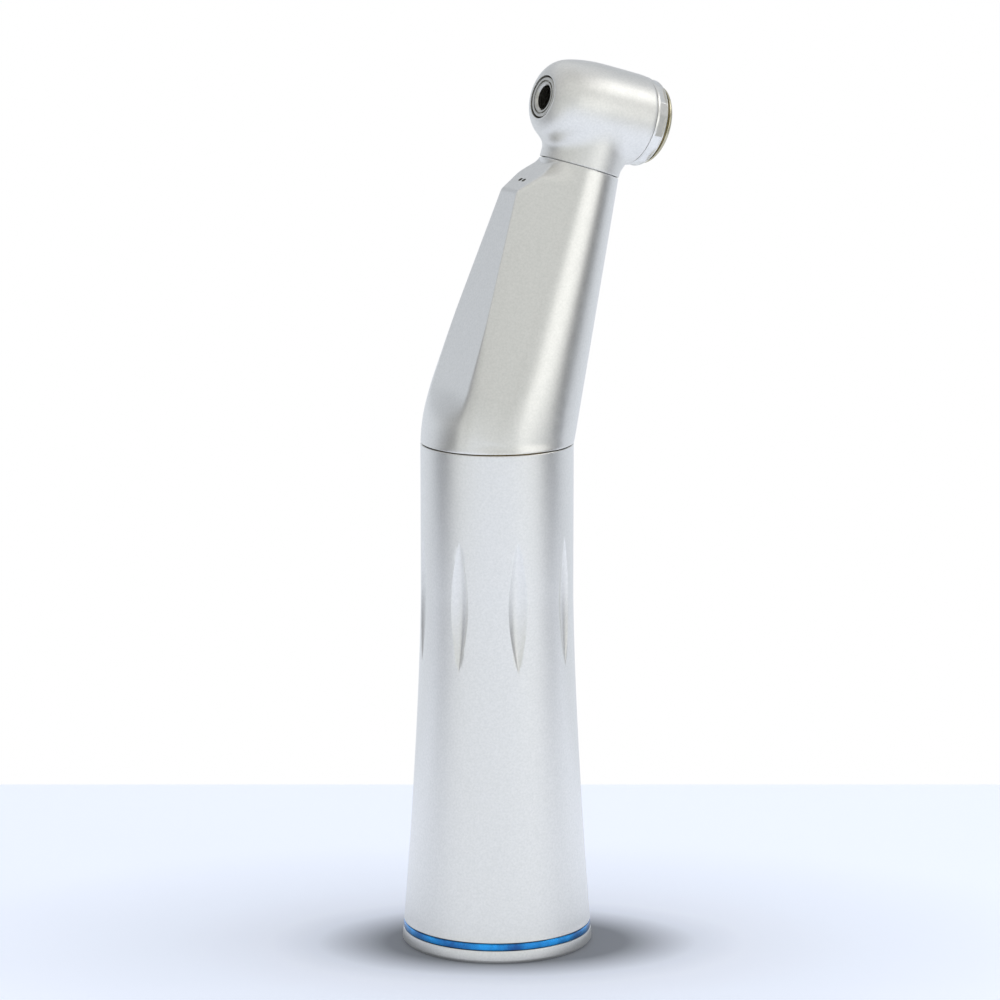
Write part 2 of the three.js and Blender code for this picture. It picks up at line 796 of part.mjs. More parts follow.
// Thin tube from the coupling tube's port, past the bearing holder, and up the neck's channel.
function waterTube() {
  const outer = 6.27;
  const tilted = (across, along) =>
    new THREE.Vector3(across, 0, along).applyMatrix4(neckGroup.matrixWorld);
  const path = new THREE.CatmullRomCurve3(
    [
      new THREE.Vector3(-outer, 0, WATER_PORT - 0.4),
      new THREE.Vector3(-outer, 0, WATER_PORT + 6),
      new THREE.Vector3(-outer, 0, TUBE_TOP + 1.5),
      new THREE.Vector3(-5.4, 0, TUBE_TOP + 6),
      new THREE.Vector3(-5.3, 0, 42),
      tilted(-5.25, -1),
      tilted(-CHANNEL_OFFSET, 4),
      tilted(-CHANNEL_OFFSET, 14),
      tilted(-CHANNEL_OFFSET, FLAT_END),
    ],
    false,
    "centripetal",
  );
  const section = new THREE.Shape().absarc(0, 0, TUBE_RADIUS, 0, 2 * Math.PI);
  section.holes.push(new THREE.Path().absarc(0, 0, 0.2, 0, 2 * Math.PI, true));
  return solid(
    new THREE.ExtrudeGeometry(section, { steps: 20, extrudePath: path, curveSegments: 3 }),
  );
}

// ---------------------------------------------------------------- head

// Radius of the head housing along the bur axis.
function headRadius(along) {
  const next = HEAD_OUTLINE.findIndex(([end]) => end >= along);
  if (next === 0) return HEAD_OUTLINE[0][1];
  const [lowEnd, lowRadius] = HEAD_OUTLINE[next - 1];
  const [highEnd, highRadius] = HEAD_OUTLINE[next];
  return lowRadius + ((highRadius - lowRadius) * (along - lowEnd)) / (highEnd - lowEnd);
}

// Where the line at a radius and an angle from the neck's bur side, parallel to the neck's axis,
// enters the head: its distance from the bend.
function stemToHead(radius, angle) {
  const cosine = Math.cos(headAngle);
  const sine = Math.sin(headAngle);
  let low = NECK_LENGTH - neckAxisLength;
  let high = 0;
  for (let i = 0; i < 24; i++) {
    const middle = (low + high) / 2;
    const along = radius * Math.cos(angle) * sine + middle * cosine;
    const offAxis = Math.sqrt(radius * radius + middle * middle - along * along);
    if (offAxis > headRadius(along)) low = middle;
    else high = middle;
  }
  return neckAxisLength + high;
}

// Hollow blend between the stem and the head, wider on the side away from the bur.
function stemFillet() {
  const around = 28;
  const rings = [];
  for (let i = 0; i < around; i++) {
    const angle = (2 * Math.PI * i) / around;
    const away = (1 - Math.cos(angle)) / 2;
    const fall = 0.45 + 0.65 * away;
    const spread = 0.35 + 0.2 * away;
    const corner = stemToHead(STEM_RADIUS, angle);
    const upper = stemToHead(STEM_RADIUS + spread, angle);
    const outline = [[3.7, corner - fall]];
    for (const t of [0, 0.2, 0.4, 0.6, 0.8, 1]) {
      const radius = STEM_RADIUS - 0.02 + (spread + 0.02) * t * t;
      const drop = (corner - fall) * (1 - t) ** 2 + 2 * corner * t * (1 - t) + upper * t * t;
      outline.push([radius, drop + 0.03]);
    }
    outline.push([3.7, upper + 0.03]);
    rings.push(
      outline.map(
        ([radius, height]) =>
          new THREE.Vector3(-radius * Math.cos(angle), radius * Math.sin(angle), height),
      ),
    );
  }
  return lofted(rings, true);
}

const CAP_BORE = 4; // counterbore in the housing that takes the cap
const CAP_SEAT = -3.95;

function headHousing() {
  const outline = HEAD_OUTLINE.map(([along, radius]) => [radius, along]);
  const outside = turned([[0, HEAD_REAR], ...outline, [0, HEAD_FRONT]], 40);
  const stem = bar(STEM_RADIUS, NECK_LENGTH + SEAM_GAP / 2, neckAxisLength, 40);
  const stemBore = turned(
    [
      [0, NECK_LENGTH - 1],
      [NECK_BORE_TOP, NECK_LENGTH - 1],
      [NECK_BORE_TOP, 31.4],
      [3.1, 31.9],
      [3.1, neckAxisLength],
      [0, neckAxisLength],
    ],
    24,
  );
  const bore = turned(
    [
      [0, HEAD_REAR - 1],
      [CAP_BORE, HEAD_REAR - 1],
      [CAP_BORE, CAP_SEAT],
      [RACE_SEAT, CAP_SEAT],
      [RACE_SEAT, HEAD_BEARINGS[1] + NARROW_BEARING / 2 + FIT],
      [CHUCK_OPENING, HEAD_BEARINGS[1] + NARROW_BEARING / 2 + FIT],
      [CHUCK_OPENING, HEAD_FRONT + 1],
      [0, HEAD_FRONT + 1],
    ],
    32,
  );
  return outside
    .add(inFrame(stem.add(stemFillet()), neckGroup, headGroup))
    .subtract(inFrame(stemBore, neckGroup, headGroup))
    .subtract(bore);
}

const BUTTON_SHANK = 3.55; // part of the button that slides in the cap
const CAP_CAVITY = 3.8; // for the button's flange
const CAP_FLOOR = -4.82;

// Cap that closes the rear of the head. Between two thin lips it has a tapered band of eight wide
// flats and eight narrow ones, for the wrench.
function headCap() {
  const opening = BUTTON_SHANK + 0.07;
  const spigotInner = RACE_OUTER + 0.1;
  const spigot = CAP_BORE - FIT;
  const seam = HEAD_REAR - FIT;
  const shoulder = -5.45;
  const bandHigh = -4.74;
  const bandLow = -5.62;
  let cap = turned(
    [
      [spigotInner, CAP_SEAT - FIT],
      [spigot, CAP_SEAT - FIT],
      [spigot, seam],
      [4.4, seam],
      [4.46, seam - 0.06],
      [4.45, bandHigh],
      [4.35, bandLow],
      [4.31, CAP_REAR],
      [opening, CAP_REAR],
      [opening, shoulder],
      [CAP_CAVITY, shoulder],
      [CAP_CAVITY, CAP_FLOOR],
      [spigotInner, CAP_FLOOR],
    ],
    40,
  );
  const flatAt = (high, low) => {
    const side = (y) => [
      new THREE.Vector3(high, y, bandHigh),
      new THREE.Vector3(6, y, bandHigh),
      new THREE.Vector3(6, y, bandLow),
      new THREE.Vector3(low, y, bandLow),
    ];
    return lofted([side(-3), side(3)]);
  };
  const wide = flatAt(4.3, 4.19);
  const narrow = flatAt(4.4, 4.29);
  for (let i = 0; i < 8; i++) {
    cap = cap.subtract(wide.rotate([0, 0, 45 * i]));
    cap = cap.subtract(narrow.rotate([0, 0, 22.5 + 45 * i]));
  }
  return cap;
}

// Mushroom button: a round-edged head behind the cap, a shank that slides in it, a flange that keeps
// it there, and a boss that pushes the plunger.
function pushButton() {
  const headFront = CAP_REAR - BUTTON_STROKE - FIT;
  const flangeLow = -5.42;
  const flangeHigh = -5.27;
  const inner = 3.1;
  const floor = BUTTON_REAR + 0.42;
  return turned(
    [
      [0, BUTTON_REAR],
      [3.1, BUTTON_REAR],
      [3.44, BUTTON_REAR + 0.07],
      [3.74, BUTTON_REAR + 0.25],
      [BUTTON_RADIUS, -6.42],
      [BUTTON_RADIUS, headFront],
      [BUTTON_SHANK, headFront],
      [BUTTON_SHANK, flangeLow],
      [CAP_CAVITY - 0.07, flangeLow],
      [CAP_CAVITY - 0.07, flangeHigh],
      [inner, flangeHigh],
      [inner, floor],
      [1, floor],
      [1, -5.65],
      [0, -5.65],
    ],
    32,
  );
}

const CHUCK_BORE = 1.36; // rear bore of the spindle, for the collet and the plunger

// Hollow spindle: the bur's shank enters at its front, the plunger at its rear.
function chuckSpindle() {
  const front = HEAD_FRONT - 0.03;
  return turned(
    [
      [BUR_RADIUS + 0.02, front - 0.2],
      [BUR_RADIUS + 0.2, front],
      [1.5, front],
      [1.55, front - 0.12],
      [1.65, front - 0.12],
      [1.7, front],
      [2.02, front],
      [2.08, front - 0.1],
      [2.08, HEAD_BEARINGS[1] + NARROW_BEARING / 2 + 0.08],
      [SHAFT_RADIUS - 0.02, HEAD_BEARINGS[1] + NARROW_BEARING / 2 + 0.08],
      [SHAFT_RADIUS - 0.02, -5.05],
      [CHUCK_BORE, -5.05],
      [CHUCK_BORE, -1.9],
      [BUR_RADIUS + 0.02, -1.9],
    ],
    24,
  );
}

// Slotted sleeve whose fingers grip the bur's groove.
function burCollet() {
  const low = -3.7;
  const high = -1.95;
  let collet = turned(
    [
      [1, low],
      [CHUCK_BORE - 0.03, low],
      [CHUCK_BORE - 0.03, high],
      [1, high],
      [0.9, high - 0.25],
      [0.9, high - 0.55],
      [1, high - 0.75],
    ],
    24,
  );
  for (let i = 0; i < 3; i++) {
    const slot = block([0, -0.12, low + 0.5], [2, 0.12, high + 0.5]);
    collet = collet.subtract(slot.rotate([0, 0, 30 + 120 * i]));
  }
  return collet;
}

function releasePlunger() {
  return turned(
    [
      [0, -5.6],
      [1.2, -5.6],
      [1.2, -4.6],
      [0.85, -4.27],
      [0, -4.27],
    ],
    24,
  );
}

// Thin washer between the rear bearing's outer race and the chuck gear's side of the head.
const shimWasher = () => ring(RACE_BORE + 1.2, RACE_OUTER, -2.9, -2.8, 24);

// ---------------------------------------------------------------- assembly

model.updateMatrixWorld(true);

add(model, "rear_collar", rearCollar(), satinSteel());
add(model, "ratio_ring", ratioRing(), blueAnodised());
add(model, "handle_sleeve", handleSleeve(), satinSteel());
add(model, "coupling_tube", couplingTube(), machinedSteel());
add(model, "bearing_holder", bearingHolder(), machinedSteel());
add(model, "bearing_clip", bearingClip(), springSteel());
add(model, "joint_nut", jointNut(), brass());
add(model, "joint_seal", jointSeal(), rubber());
add(model, "water_tube", waterTube(), machinedSteel());

add(model, "rear_shaft", rearShaft(), machinedSteel());
add(model, "rear_gear", crownGear(0).translate([0, 0, BEND_HEIGHT]), gearSteel());
add(model, "dog_pin", pinHole(PIN_RADIUS, PIN_HEIGHT).intersect(bar(2.3, 20, 30, 24)), gearSteel());
add(model, "drive_dog", driveDog(), gearSteel());
add(model, "dog_spring", coil(2.05, 0.2, DOG_TOP + 0.28, 30.8, 3, 14), springSteel());
addBearing(model, "rear_bearing_a", REAR_BEARINGS[0], WIDE_BEARING);
addBearing(model, "rear_bearing_b", REAR_BEARINGS[1], WIDE_BEARING);

add(neckGroup, "neck_sleeve", neckSleeve(), satinSteel());
add(neckGroup, "neck_tube", neckTube(), machinedSteel());
add(neckGroup, "neck_shaft", neckShaft(), machinedSteel());
add(neckGroup, "neck_gear", flipped(crownGear(Math.PI / BEND_TEETH)), gearSteel());
const pinion = headGear(0, GEAR_BORE, 2, -PINION_DEPTH);
add(neckGroup, "neck_pinion", pinion.translate([0, 0, neckAxisLength]), gearSteel());
addBearing(neckGroup, "neck_bearing_a", NECK_BEARINGS[0], WIDE_BEARING);
addBearing(neckGroup, "neck_bearing_b", NECK_BEARINGS[1], WIDE_BEARING);

add(headGroup, "head_housing", headHousing(), satinSteel());
add(headGroup, "head_cap", headCap(), satinSteel());
add(headGroup, "push_button", pushButton(), paleGold());
add(headGroup, "button_spring", coil(2.9, 0.13, -6.3, -4.95, 2.5, 16), springSteel());
add(headGroup, "release_plunger", releasePlunger(), gearSteel());
add(headGroup, "chuck_spindle", chuckSpindle(), machinedSteel());
add(headGroup, "bur_collet", burCollet(), springSteel());
const chuckGear = headGear(Math.PI / HEAD_TEETH, RACE_BORE, 2.2, -2.75);
add(headGroup, "chuck_gear", chuckGear, gearSteel());
add(headGroup, "shim_washer", shimWasher(), springSteel());
addBearing(headGroup, "head_bearing_a", HEAD_BEARINGS[0], NARROW_BEARING);
addBearing(headGroup, "head_bearing_b", HEAD_BEARINGS[1], NARROW_BEARING);

export default model;
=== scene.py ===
import json
import math

import bmesh
import bpy
import numpy as np
from mathutils import Matrix, Vector


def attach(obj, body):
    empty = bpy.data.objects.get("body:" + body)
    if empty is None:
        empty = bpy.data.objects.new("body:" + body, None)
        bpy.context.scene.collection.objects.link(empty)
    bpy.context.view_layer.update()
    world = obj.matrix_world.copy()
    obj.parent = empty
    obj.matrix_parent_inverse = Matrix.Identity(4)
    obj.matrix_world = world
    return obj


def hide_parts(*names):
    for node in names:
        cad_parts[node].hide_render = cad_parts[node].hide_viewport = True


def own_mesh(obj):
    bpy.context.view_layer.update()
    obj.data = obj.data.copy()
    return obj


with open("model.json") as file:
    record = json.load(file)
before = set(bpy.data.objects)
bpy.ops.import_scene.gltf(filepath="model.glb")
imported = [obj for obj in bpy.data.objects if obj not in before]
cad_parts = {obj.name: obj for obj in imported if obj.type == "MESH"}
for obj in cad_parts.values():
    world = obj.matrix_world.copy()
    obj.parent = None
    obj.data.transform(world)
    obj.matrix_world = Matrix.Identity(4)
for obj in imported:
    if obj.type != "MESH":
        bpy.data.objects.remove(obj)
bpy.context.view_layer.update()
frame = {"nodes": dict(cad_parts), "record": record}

MM = 0.001
# Points round a turned mesh: on one that shows, on a smaller one, and on a cutting tool.
SEGMENTS = 256
SMALL_SEGMENTS = 192
TOOL_SEGMENTS = 96
# Edges sharper than this stay sharp.
SHARP_ANGLE = math.radians(32)
NORMAL_WEIGHT = 60

# Sizes in millimetres, as in the CAD.
FIT = 0.05
BASE_RADIUS = 9.5
GRIP_RADIUS = 7.55
FLARE_TOP = 36.0
FLARE_POWER = 1.5
SLEEVE_WALL = 0.9
COLLAR_HEIGHT = 1.3
COLLAR_BORE = 5.95
COLLAR_TOP = 6.0
COLLAR_WALL = 0.7
COLLAR_FLOOR = 3.0
BAND_TOP = 2.0
SPIGOT_RADIUS = 8.4
SLEEVE_SHOULDER = 6.1
SLEEVE_EDGE = 0.09
SEAM_HEIGHT = 50.6
SEAM_GAP = 0.1

FLUTE_COUNT = 8
FLUTE_START = math.radians(212)
FLUTE_LOW = 28.9
FLUTE_HIGH = 41.9
FLUTE_WIDTH = 1.9
FLUTE_DEPTH = 0.4
FLUTE_RIM = 0.03

BEND_HEIGHT = 49.1
NECK_TILT = math.radians(18.1)
NECK_LENGTH = 29.6
FLAT_DISTANCE = 6.83
FLAT_END = 25.6
FLAT_HALF_WIDTH = 1.54
FLAT_WIDENING = 0.137
# The neck's flat stands out by its lean and swell at the seam, where its edge is at its softest.
# The swell and the soft edge end at these shares of the neck's length.
FLAT_LEAN = 0.55
FLAT_SWELL = 0.65
FLAT_SWELL_END = 0.14
FLAT_CREASE = 0.04
FLAT_CREASE_SOFTER = 1.1
FLAT_CREASE_END = 0.45
FLAT_FADE_START = 0.92
SIDE_BOW = 0.14
NECK_ROUNDING = 1.2
SEAM_BLEND = 2.5
BEVEL_TOP = 3.43
BEVEL_ROUNDING = 0.2
CHANNEL_OFFSET = 5.0
CHANNEL_RADIUS = 0.43
SPRAY_RADIUS = 0.24
SPRAY_OFFSET = 0.33
NECK_BORE_TOP = 3.62
NUT_OUTER = 6.6
NUT_TOP = 52.8

STEM_RADIUS = 4.03
STEM_BORE = 3.1
STEM_STEP = 31.4
HEAD_RISE = 5.8
BUR_LIFT = math.radians(15.4)
HEAD_FRONT = 6.15
HEAD_REAR = -4.45
HEAD_OUTLINE = [
    (HEAD_REAR, 4.45), (-3.7, 4.53), (0.6, 4.58), (2.2, 4.49), (3.3, 4.34), (4.1, 4.17),
    (4.7, 3.97), (5.2, 3.67), (5.6, 3.28), (5.9, 2.84), (6.1, 2.45), (HEAD_FRONT, 2.28),
]
STEM_FILLET = 1.15
STEM_FILLET_EXTRA = 0.5
CAP_REAR = -5.76
CAP_BAND_HIGH = -4.76
CAP_BAND_LOW = -5.62
CAP_MOUTH = -5.45
CAP_CAVITY = 3.8
CAP_FLOOR = -4.82
BUTTON_REAR = -6.87
BUTTON_RADIUS = 3.96
BUTTON_SHANK = 3.55
BUTTON_STROKE = 0.4
BUTTON_FLANGE = (-5.42, -5.27)
BUTTON_BOSS = -5.65
CHUCK_OPENING = 2.2
CHUCK_BORE = 1.36
CHUCK_REAR = -5.05
COLLET_REAR = -1.9
BUR_RADIUS = 1.175
CAP_BORE = 4.0
CAP_SEAT = -3.95
SHAFT_RADIUS = 1.58
RACE_OUTER = 3.175
RACE_SEAT = 3.24
HEAD_BEARING = 3.75
BEARING_HALF = 0.9

NECK_AXIS = NECK_LENGTH + HEAD_RISE
neck_direction = Vector((math.sin(NECK_TILT), 0, math.cos(NECK_TILT)))
head_centre = Vector((0, 0, BEND_HEIGHT)) + neck_direction * NECK_AXIS

# Frames of the three parts of the assembly, in millimetres.
HANDLE = Matrix.Identity(4)
NECK = Matrix.Translation((0, 0, BEND_HEIGHT)) @ Matrix.Rotation(NECK_TILT, 4, "Y")
HEAD_LEAN = BUR_LIFT - math.pi / 2
HEAD = Matrix.Translation(head_centre) @ Matrix.Rotation(HEAD_LEAN, 4, "Y")


# ---------------------------------------------------------------- curves


def smooth(t):
    """A smooth step from 0 to 1, for a number or an array."""
    t = np.clip(t, 0, 1)
    return t * t * (3 - 2 * t)


def mix(a, b, share):
    """The value the given share of the way from a to b."""
    return a + (b - a) * share


def soft_min(a, b, width):
    """The smaller of two, rounded where they are closer than width."""
    near = np.maximum(width - np.abs(a - b), 0) / np.maximum(width, 1e-9)
    return np.minimum(a, b) - near * near * width / 4


def softened(outline, closed=True, steps=4):
    """An outline of (radius, height) corners, rounded where a corner also has a setback."""
    points = []
    for i, (radius, height, *setback) in enumerate(outline):
        here = np.array((radius, height))
        last = not closed and i in (0, len(outline) - 1)
        if last or not setback:
            points.append(here)
            continue
        before = np.array(outline[i - 1][:2]) - here
        after = np.array(outline[(i + 1) % len(outline)][:2]) - here
        lengths = np.linalg.norm(before), np.linalg.norm(after)
        reach = min(setback[0], 0.45 * lengths[0], 0.45 * lengths[1])
        start = here + before * reach / lengths[0]
        end = here + after * reach / lengths[1]
        for t in np.linspace(0, 1, steps + 1):
            points.append((1 - t) ** 2 * start + 2 * t * (1 - t) * here + t * t * end)
    return [tuple(p) for p in points]


def through(points, per_span):
    """A smooth curve through points, as a list of points."""
    points = [np.array(p, float) for p in points]
    padded = [2 * points[0] - points[1], *points, 2 * points[-1] - points[-2]]
    made = []
    for p, q, r, s in zip(padded, padded[1:], padded[2:], padded[3:]):
        for t in np.arange(per_span) / per_span:
            made.append(
                0.5 * (2 * q + (r - p) * t + (2 * p - 5 * q + 4 * r - s) * t * t
                       + (3 * q - p - 3 * r + s) * t ** 3)
            )
    made.append(points[-1])
    return made


# ---------------------------------------------------------------- meshes


def rings_mesh(name, rings, looped=False, poles=(None, None)):
    """A closed mesh through rings of points. The rings loop round to the first, or are closed by a
    fan to a pole at each end."""
    rows, count, _ = rings.shape
    verts = rings.reshape(-1, 3).tolist()
    j = np.arange(count)
    after = (j + 1) % count
    faces = []
    for i in range(rows if looped else rows - 1):
        low = i * count
        high = ((i + 1) % rows) * count
        faces.extend(np.stack([low + j, low + after, high + after, high + j], 1).tolist())
    if not looped:
        for pole, row in ((poles[0], 0), (poles[1], rows - 1)):
            centre = pole if pole is not None else rings[row].mean(0)
            verts.append(list(centre))
            faces.extend(
                [len(verts) - 1, row * count + int(a), row * count + int(b)]
                for a, b in zip(j, after)
            )
    mesh = bpy.data.meshes.new(name)
    mesh.from_pydata(verts, [], faces)
    outwards(mesh)
    return mesh


def outwards(mesh):
    """Turns all of a closed mesh's faces outwards."""
    bm = bmesh.new()
    bm.from_mesh(mesh)
    bmesh.ops.recalc_face_normals(bm, faces=bm.faces)
    if bm.calc_volume(signed=True) < 0:
        bmesh.ops.reverse_faces(bm, faces=bm.faces)
    bm.to_mesh(mesh)
    bm.free()


def turned(name, outline, segments=SEGMENTS, steps=4):
    """An outline turned about Z: a solid if it starts and ends at radius 0, else a ring."""
    closed = outline[0][0] > 0
    profile = np.array(softened(outline, closed, steps))
    angles = 2 * np.pi * np.arange(segments) / segments
    round_xy = np.stack([np.cos(angles), np.sin(angles)], 1)
    poles = (None, None)
    if not closed:
        poles = ((0, 0, profile[0, 1]), (0, 0, profile[-1, 1]))
        profile = profile[1:-1]
    rings = np.empty((len(profile), segments, 3))
    rings[..., :2] = profile[:, None, :1] * round_xy
    rings[..., 2] = profile[:, 1:2]
    return rings_mesh(name, rings, looped=closed, poles=poles)


def boolean(mesh, others, operation="DIFFERENCE"):
    """mesh with each of the other meshes cut from it or joined to it."""
    for other in others:
        target = bpy.data.objects.new("target", mesh)
        tool = bpy.data.objects.new("tool", other)
        for made in (target, tool):
            bpy.context.scene.collection.objects.link(made)
        modifier = target.modifiers.new("boolean", "BOOLEAN")
        modifier.solver = "EXACT"
        modifier.operation = operation
        modifier.object = tool
        depsgraph = bpy.context.evaluated_depsgraph_get()
        mesh = bpy.data.meshes.new_from_object(target.evaluated_get(depsgraph))
        bpy.data.objects.remove(target)
        bpy.data.objects.remove(tool)
    return mesh


def moved(mesh, matrix):
    """The same mesh, transformed."""
    mesh.transform(matrix)
    return mesh


def between(name, start, end, radius, segments=24):
    """A round bar between two points."""
    start, end = Vector(start), Vector(end)
    length = (end - start).length
    outline = [(0, 0), (radius, 0), (radius, length), (0, length)]
    turn = (end - start).to_track_quat("Z", "Y").to_matrix().to_4x4()
    return moved(turned(name, outline, segments), Matrix.Translation(start) @ turn)


def link_object(name, data):
    """Adds an object to the scene."""
    made = bpy.data.objects.new(name, data)
    bpy.context.scene.collection.objects.link(made)
    return made


def place(node, mesh, where, body, material):
    """Makes the piece that replaces a CAD node, from a mesh in millimetres in one of the frames."""
    name = f"{node}_skin"
    mesh.name = name
    mesh.transform(Matrix.Scale(MM, 4) @ where)
    mesh.materials.clear()
    mesh.materials.append(material)
    for polygon in mesh.polygons:
        polygon.use_smooth = True
        polygon.material_index = 0
    mesh.set_sharp_from_angle(angle=SHARP_ANGLE)
    piece = link_object(name, mesh)
    normals = piece.modifiers.new("normals", "WEIGHTED_NORMAL")
    normals.keep_sharp = True
    normals.weight = NORMAL_WEIGHT
    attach(piece, body)
    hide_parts(node)


# ---------------------------------------------------------------- materials


class Graph:
    """Short ways to add nodes to a node tree."""

    def __init__(self, tree):
        self.nodes = tree.nodes
        self.links = tree.links

    def put(self, value, socket):
        """Links an output to the socket, or sets the socket's own value."""
        if isinstance(value, bpy.types.NodeSocket):
            self.links.new(value, socket)
        else:
            socket.default_value = value

    def node(self, kind, inputs, **settings):
        made = self.nodes.new(kind)
        for key, value in settings.items():
            setattr(made, key, value)
        for key, value in inputs.items():
            self.put(value, made.inputs[key])
        return made

    def map_range(self, value, low, high, to_low=0.0, to_high=1.0):
        return self.node("ShaderNodeMapRange", {
            "Value": value, "From Min": low, "From Max": high, "To Min": to_low, "To Max": to_high,
        }).outputs["Result"]

    def ramp(self, value, stops, interpolation="LINEAR"):
        made = self.node("ShaderNodeValToRGB", {"Fac": value})
        made.color_ramp.interpolation = interpolation
        elements = made.color_ramp.elements
        while len(elements) < len(stops):
            elements.new(0.5)
        for element, (position, colour) in zip(elements, stops):
            element.position = position
            element.color = (*colour, 1)
        return made.outputs["Color"]


class Material(Graph):
    """A material with one Principled shader, patterned in the object's own coordinates."""

    def __init__(self, name, metallic=1.0):
        self.made = bpy.data.materials.new(name)
        self.made.use_nodes = True
        super().__init__(self.made.node_tree)
        self.shader = self.nodes["Principled BSDF"]
        self.shader.inputs["Metallic"].default_value = metallic
        self.place = self.nodes.new("ShaderNodeTexCoord").outputs["Object"]

    def noise(self, scale, detail=2.0, roughness=0.5, stretch=None, lean=0.0):
        where = self.place
        if stretch:
            where = self.node("ShaderNodeMapping", {
                "Vector": where, "Rotation": (0, lean, 0), "Scale": [1 / s for s in stretch],
            }, vector_type="TEXTURE").outputs["Vector"]
        return self.node("ShaderNodeTexNoise", {
            "Vector": where, "Scale": scale, "Detail": detail, "Roughness": roughness,
        }).outputs["Fac"]

    def colour(self, value, *stops):
        self.put(self.ramp(value, stops), self.shader.inputs["Base Color"])

    def roughness(self, value, low, high):
        """A noise's usual range, 0.3 to 0.7, gives the roughness from low to high."""
        self.put(self.map_range(value, 0.3, 0.7, low, high), self.shader.inputs["Roughness"])

    def bumps(self, *layers):
        """Each layer is a pattern and its height in metres."""
        inputs = {"Strength": 1.0}
        for value, height in layers:
            made = self.node("ShaderNodeBump", {**inputs, "Height": value, "Distance": height})
            inputs["Normal"] = made.outputs["Normal"]
        self.put(inputs["Normal"], self.shader.inputs["Normal"])


def satin(name, low_roughness, high_roughness):
    """Fine-blasted, plated steel: an even silky grain with the faintest clouding."""
    made = Material(name)
    made.colour(made.noise(4500, 2, 0.6), (0.3, (0.805, 0.795, 0.75)), (0.7, (0.885, 0.87, 0.825)))
    made.roughness(made.noise(1400, 3), low_roughness, high_roughness)
    made.bumps((made.noise(9000, 2, 0.6), 1.5e-6), (made.noise(2600, 2), 8e-7))
    return made.made


# Depths of tool rings, in metres.
RINGS = 1.2e-6
FINE_RINGS = 8e-7


def machined(name, low, high, rough=(0.16, 0.28), depth=RINGS, lean=0.0):
    """Turned metal: fine tool rings round its axis, which leans from Z, and faint staining."""
    made = Material(name)
    rings = made.noise(1, 3, 0.6, (400, 400, 9000), lean)
    made.colour(made.noise(500, 3), (0.3, low), (0.7, high))
    made.roughness(rings, *rough)
    made.bumps((rings, depth))
    return made.made


def anodised(name):
    """Dyed, clear-sealed ring with a bright surface, its colour darker in patches that are painted
    dark reflections.
    """
    made = Material(name, metallic=0.9)
    # Painted reflection: the dark navy patches in the colour stand in for dark reflections.
    made.colour(made.noise(420, 3), (0.35, (0.004, 0.1, 0.34)), (0.62, (0.01, 0.36, 0.86)))
    made.roughness(made.noise(2500, 2), 0.12, 0.22)
    made.bumps((made.noise(3000, 2), 1e-6))
    made.shader.inputs["Coat Weight"].default_value = 0.6
    made.shader.inputs["Coat Roughness"].default_value = 0.05
    return made.made


def elastomer(name):
    """Matt black rubber."""
    made = Material(name, metallic=0.0)
    made.colour(made.noise(1500, 3), (0.3, (0.008, 0.008, 0.009)), (0.7, (0.02, 0.02, 0.021)))
    made.roughness(made.noise(2500, 2), 0.55, 0.75)
    made.bumps((made.noise(6000, 3), 6e-6))
    return made.made


satin_steel = satin("satin_steel", 0.3, 0.34)
head_satin = satin("head_satin", 0.42, 0.46)
blue_anodised = anodised("blue_anodised")
machined_steel = machined("machined_steel", (0.5, 0.5, 0.5), (0.6, 0.6, 0.59))
gear_steel = machined("gear_steel", (0.34, 0.34, 0.35), (0.42, 0.42, 0.42), (0.25, 0.4))
spring_steel = machined("spring_steel", (0.36, 0.36, 0.38), (0.45, 0.45, 0.46), (0.2, 0.3))
race_steel = machined("race_steel", (0.6, 0.6, 0.61), (0.68, 0.68, 0.68), (0.08, 0.14))
brass = machined("brass", (0.62, 0.42, 0.13), (0.72, 0.52, 0.2), (0.2, 0.32))
cage_brass = machined("cage_brass", (0.55, 0.36, 0.12), (0.66, 0.46, 0.18), (0.25, 0.36))
black_rubber = elastomer("black_rubber")
button_gold = machined(
    "button_gold", (0.5, 0.45, 0.31), (0.6, 0.55, 0.4), (0.2, 0.3), FINE_RINGS, HEAD_LEAN)
chuck_steel = machined(
    "chuck_steel", (0.5, 0.485, 0.44), (0.6, 0.585, 0.54), (0.2, 0.3), FINE_RINGS, HEAD_LEAN)


# ---------------------------------------------------------------- handle


def handle_radius(height):
    """The handle is straight above FLARE_TOP and flares out below it."""
    share = max(0.0, (FLARE_TOP - height) / FLARE_TOP)
    return GRIP_RADIUS + (BASE_RADIUS - GRIP_RADIUS) * share ** FLARE_POWER


def flute_size(height):
    """Share of its full width and depth that a flute has at a height."""
    middle = (FLUTE_LOW + FLUTE_HIGH) / 2
    along = (height - middle) / ((FLUTE_HIGH - FLUTE_LOW) / 2)
    return max(0.0, 1 - along * along)


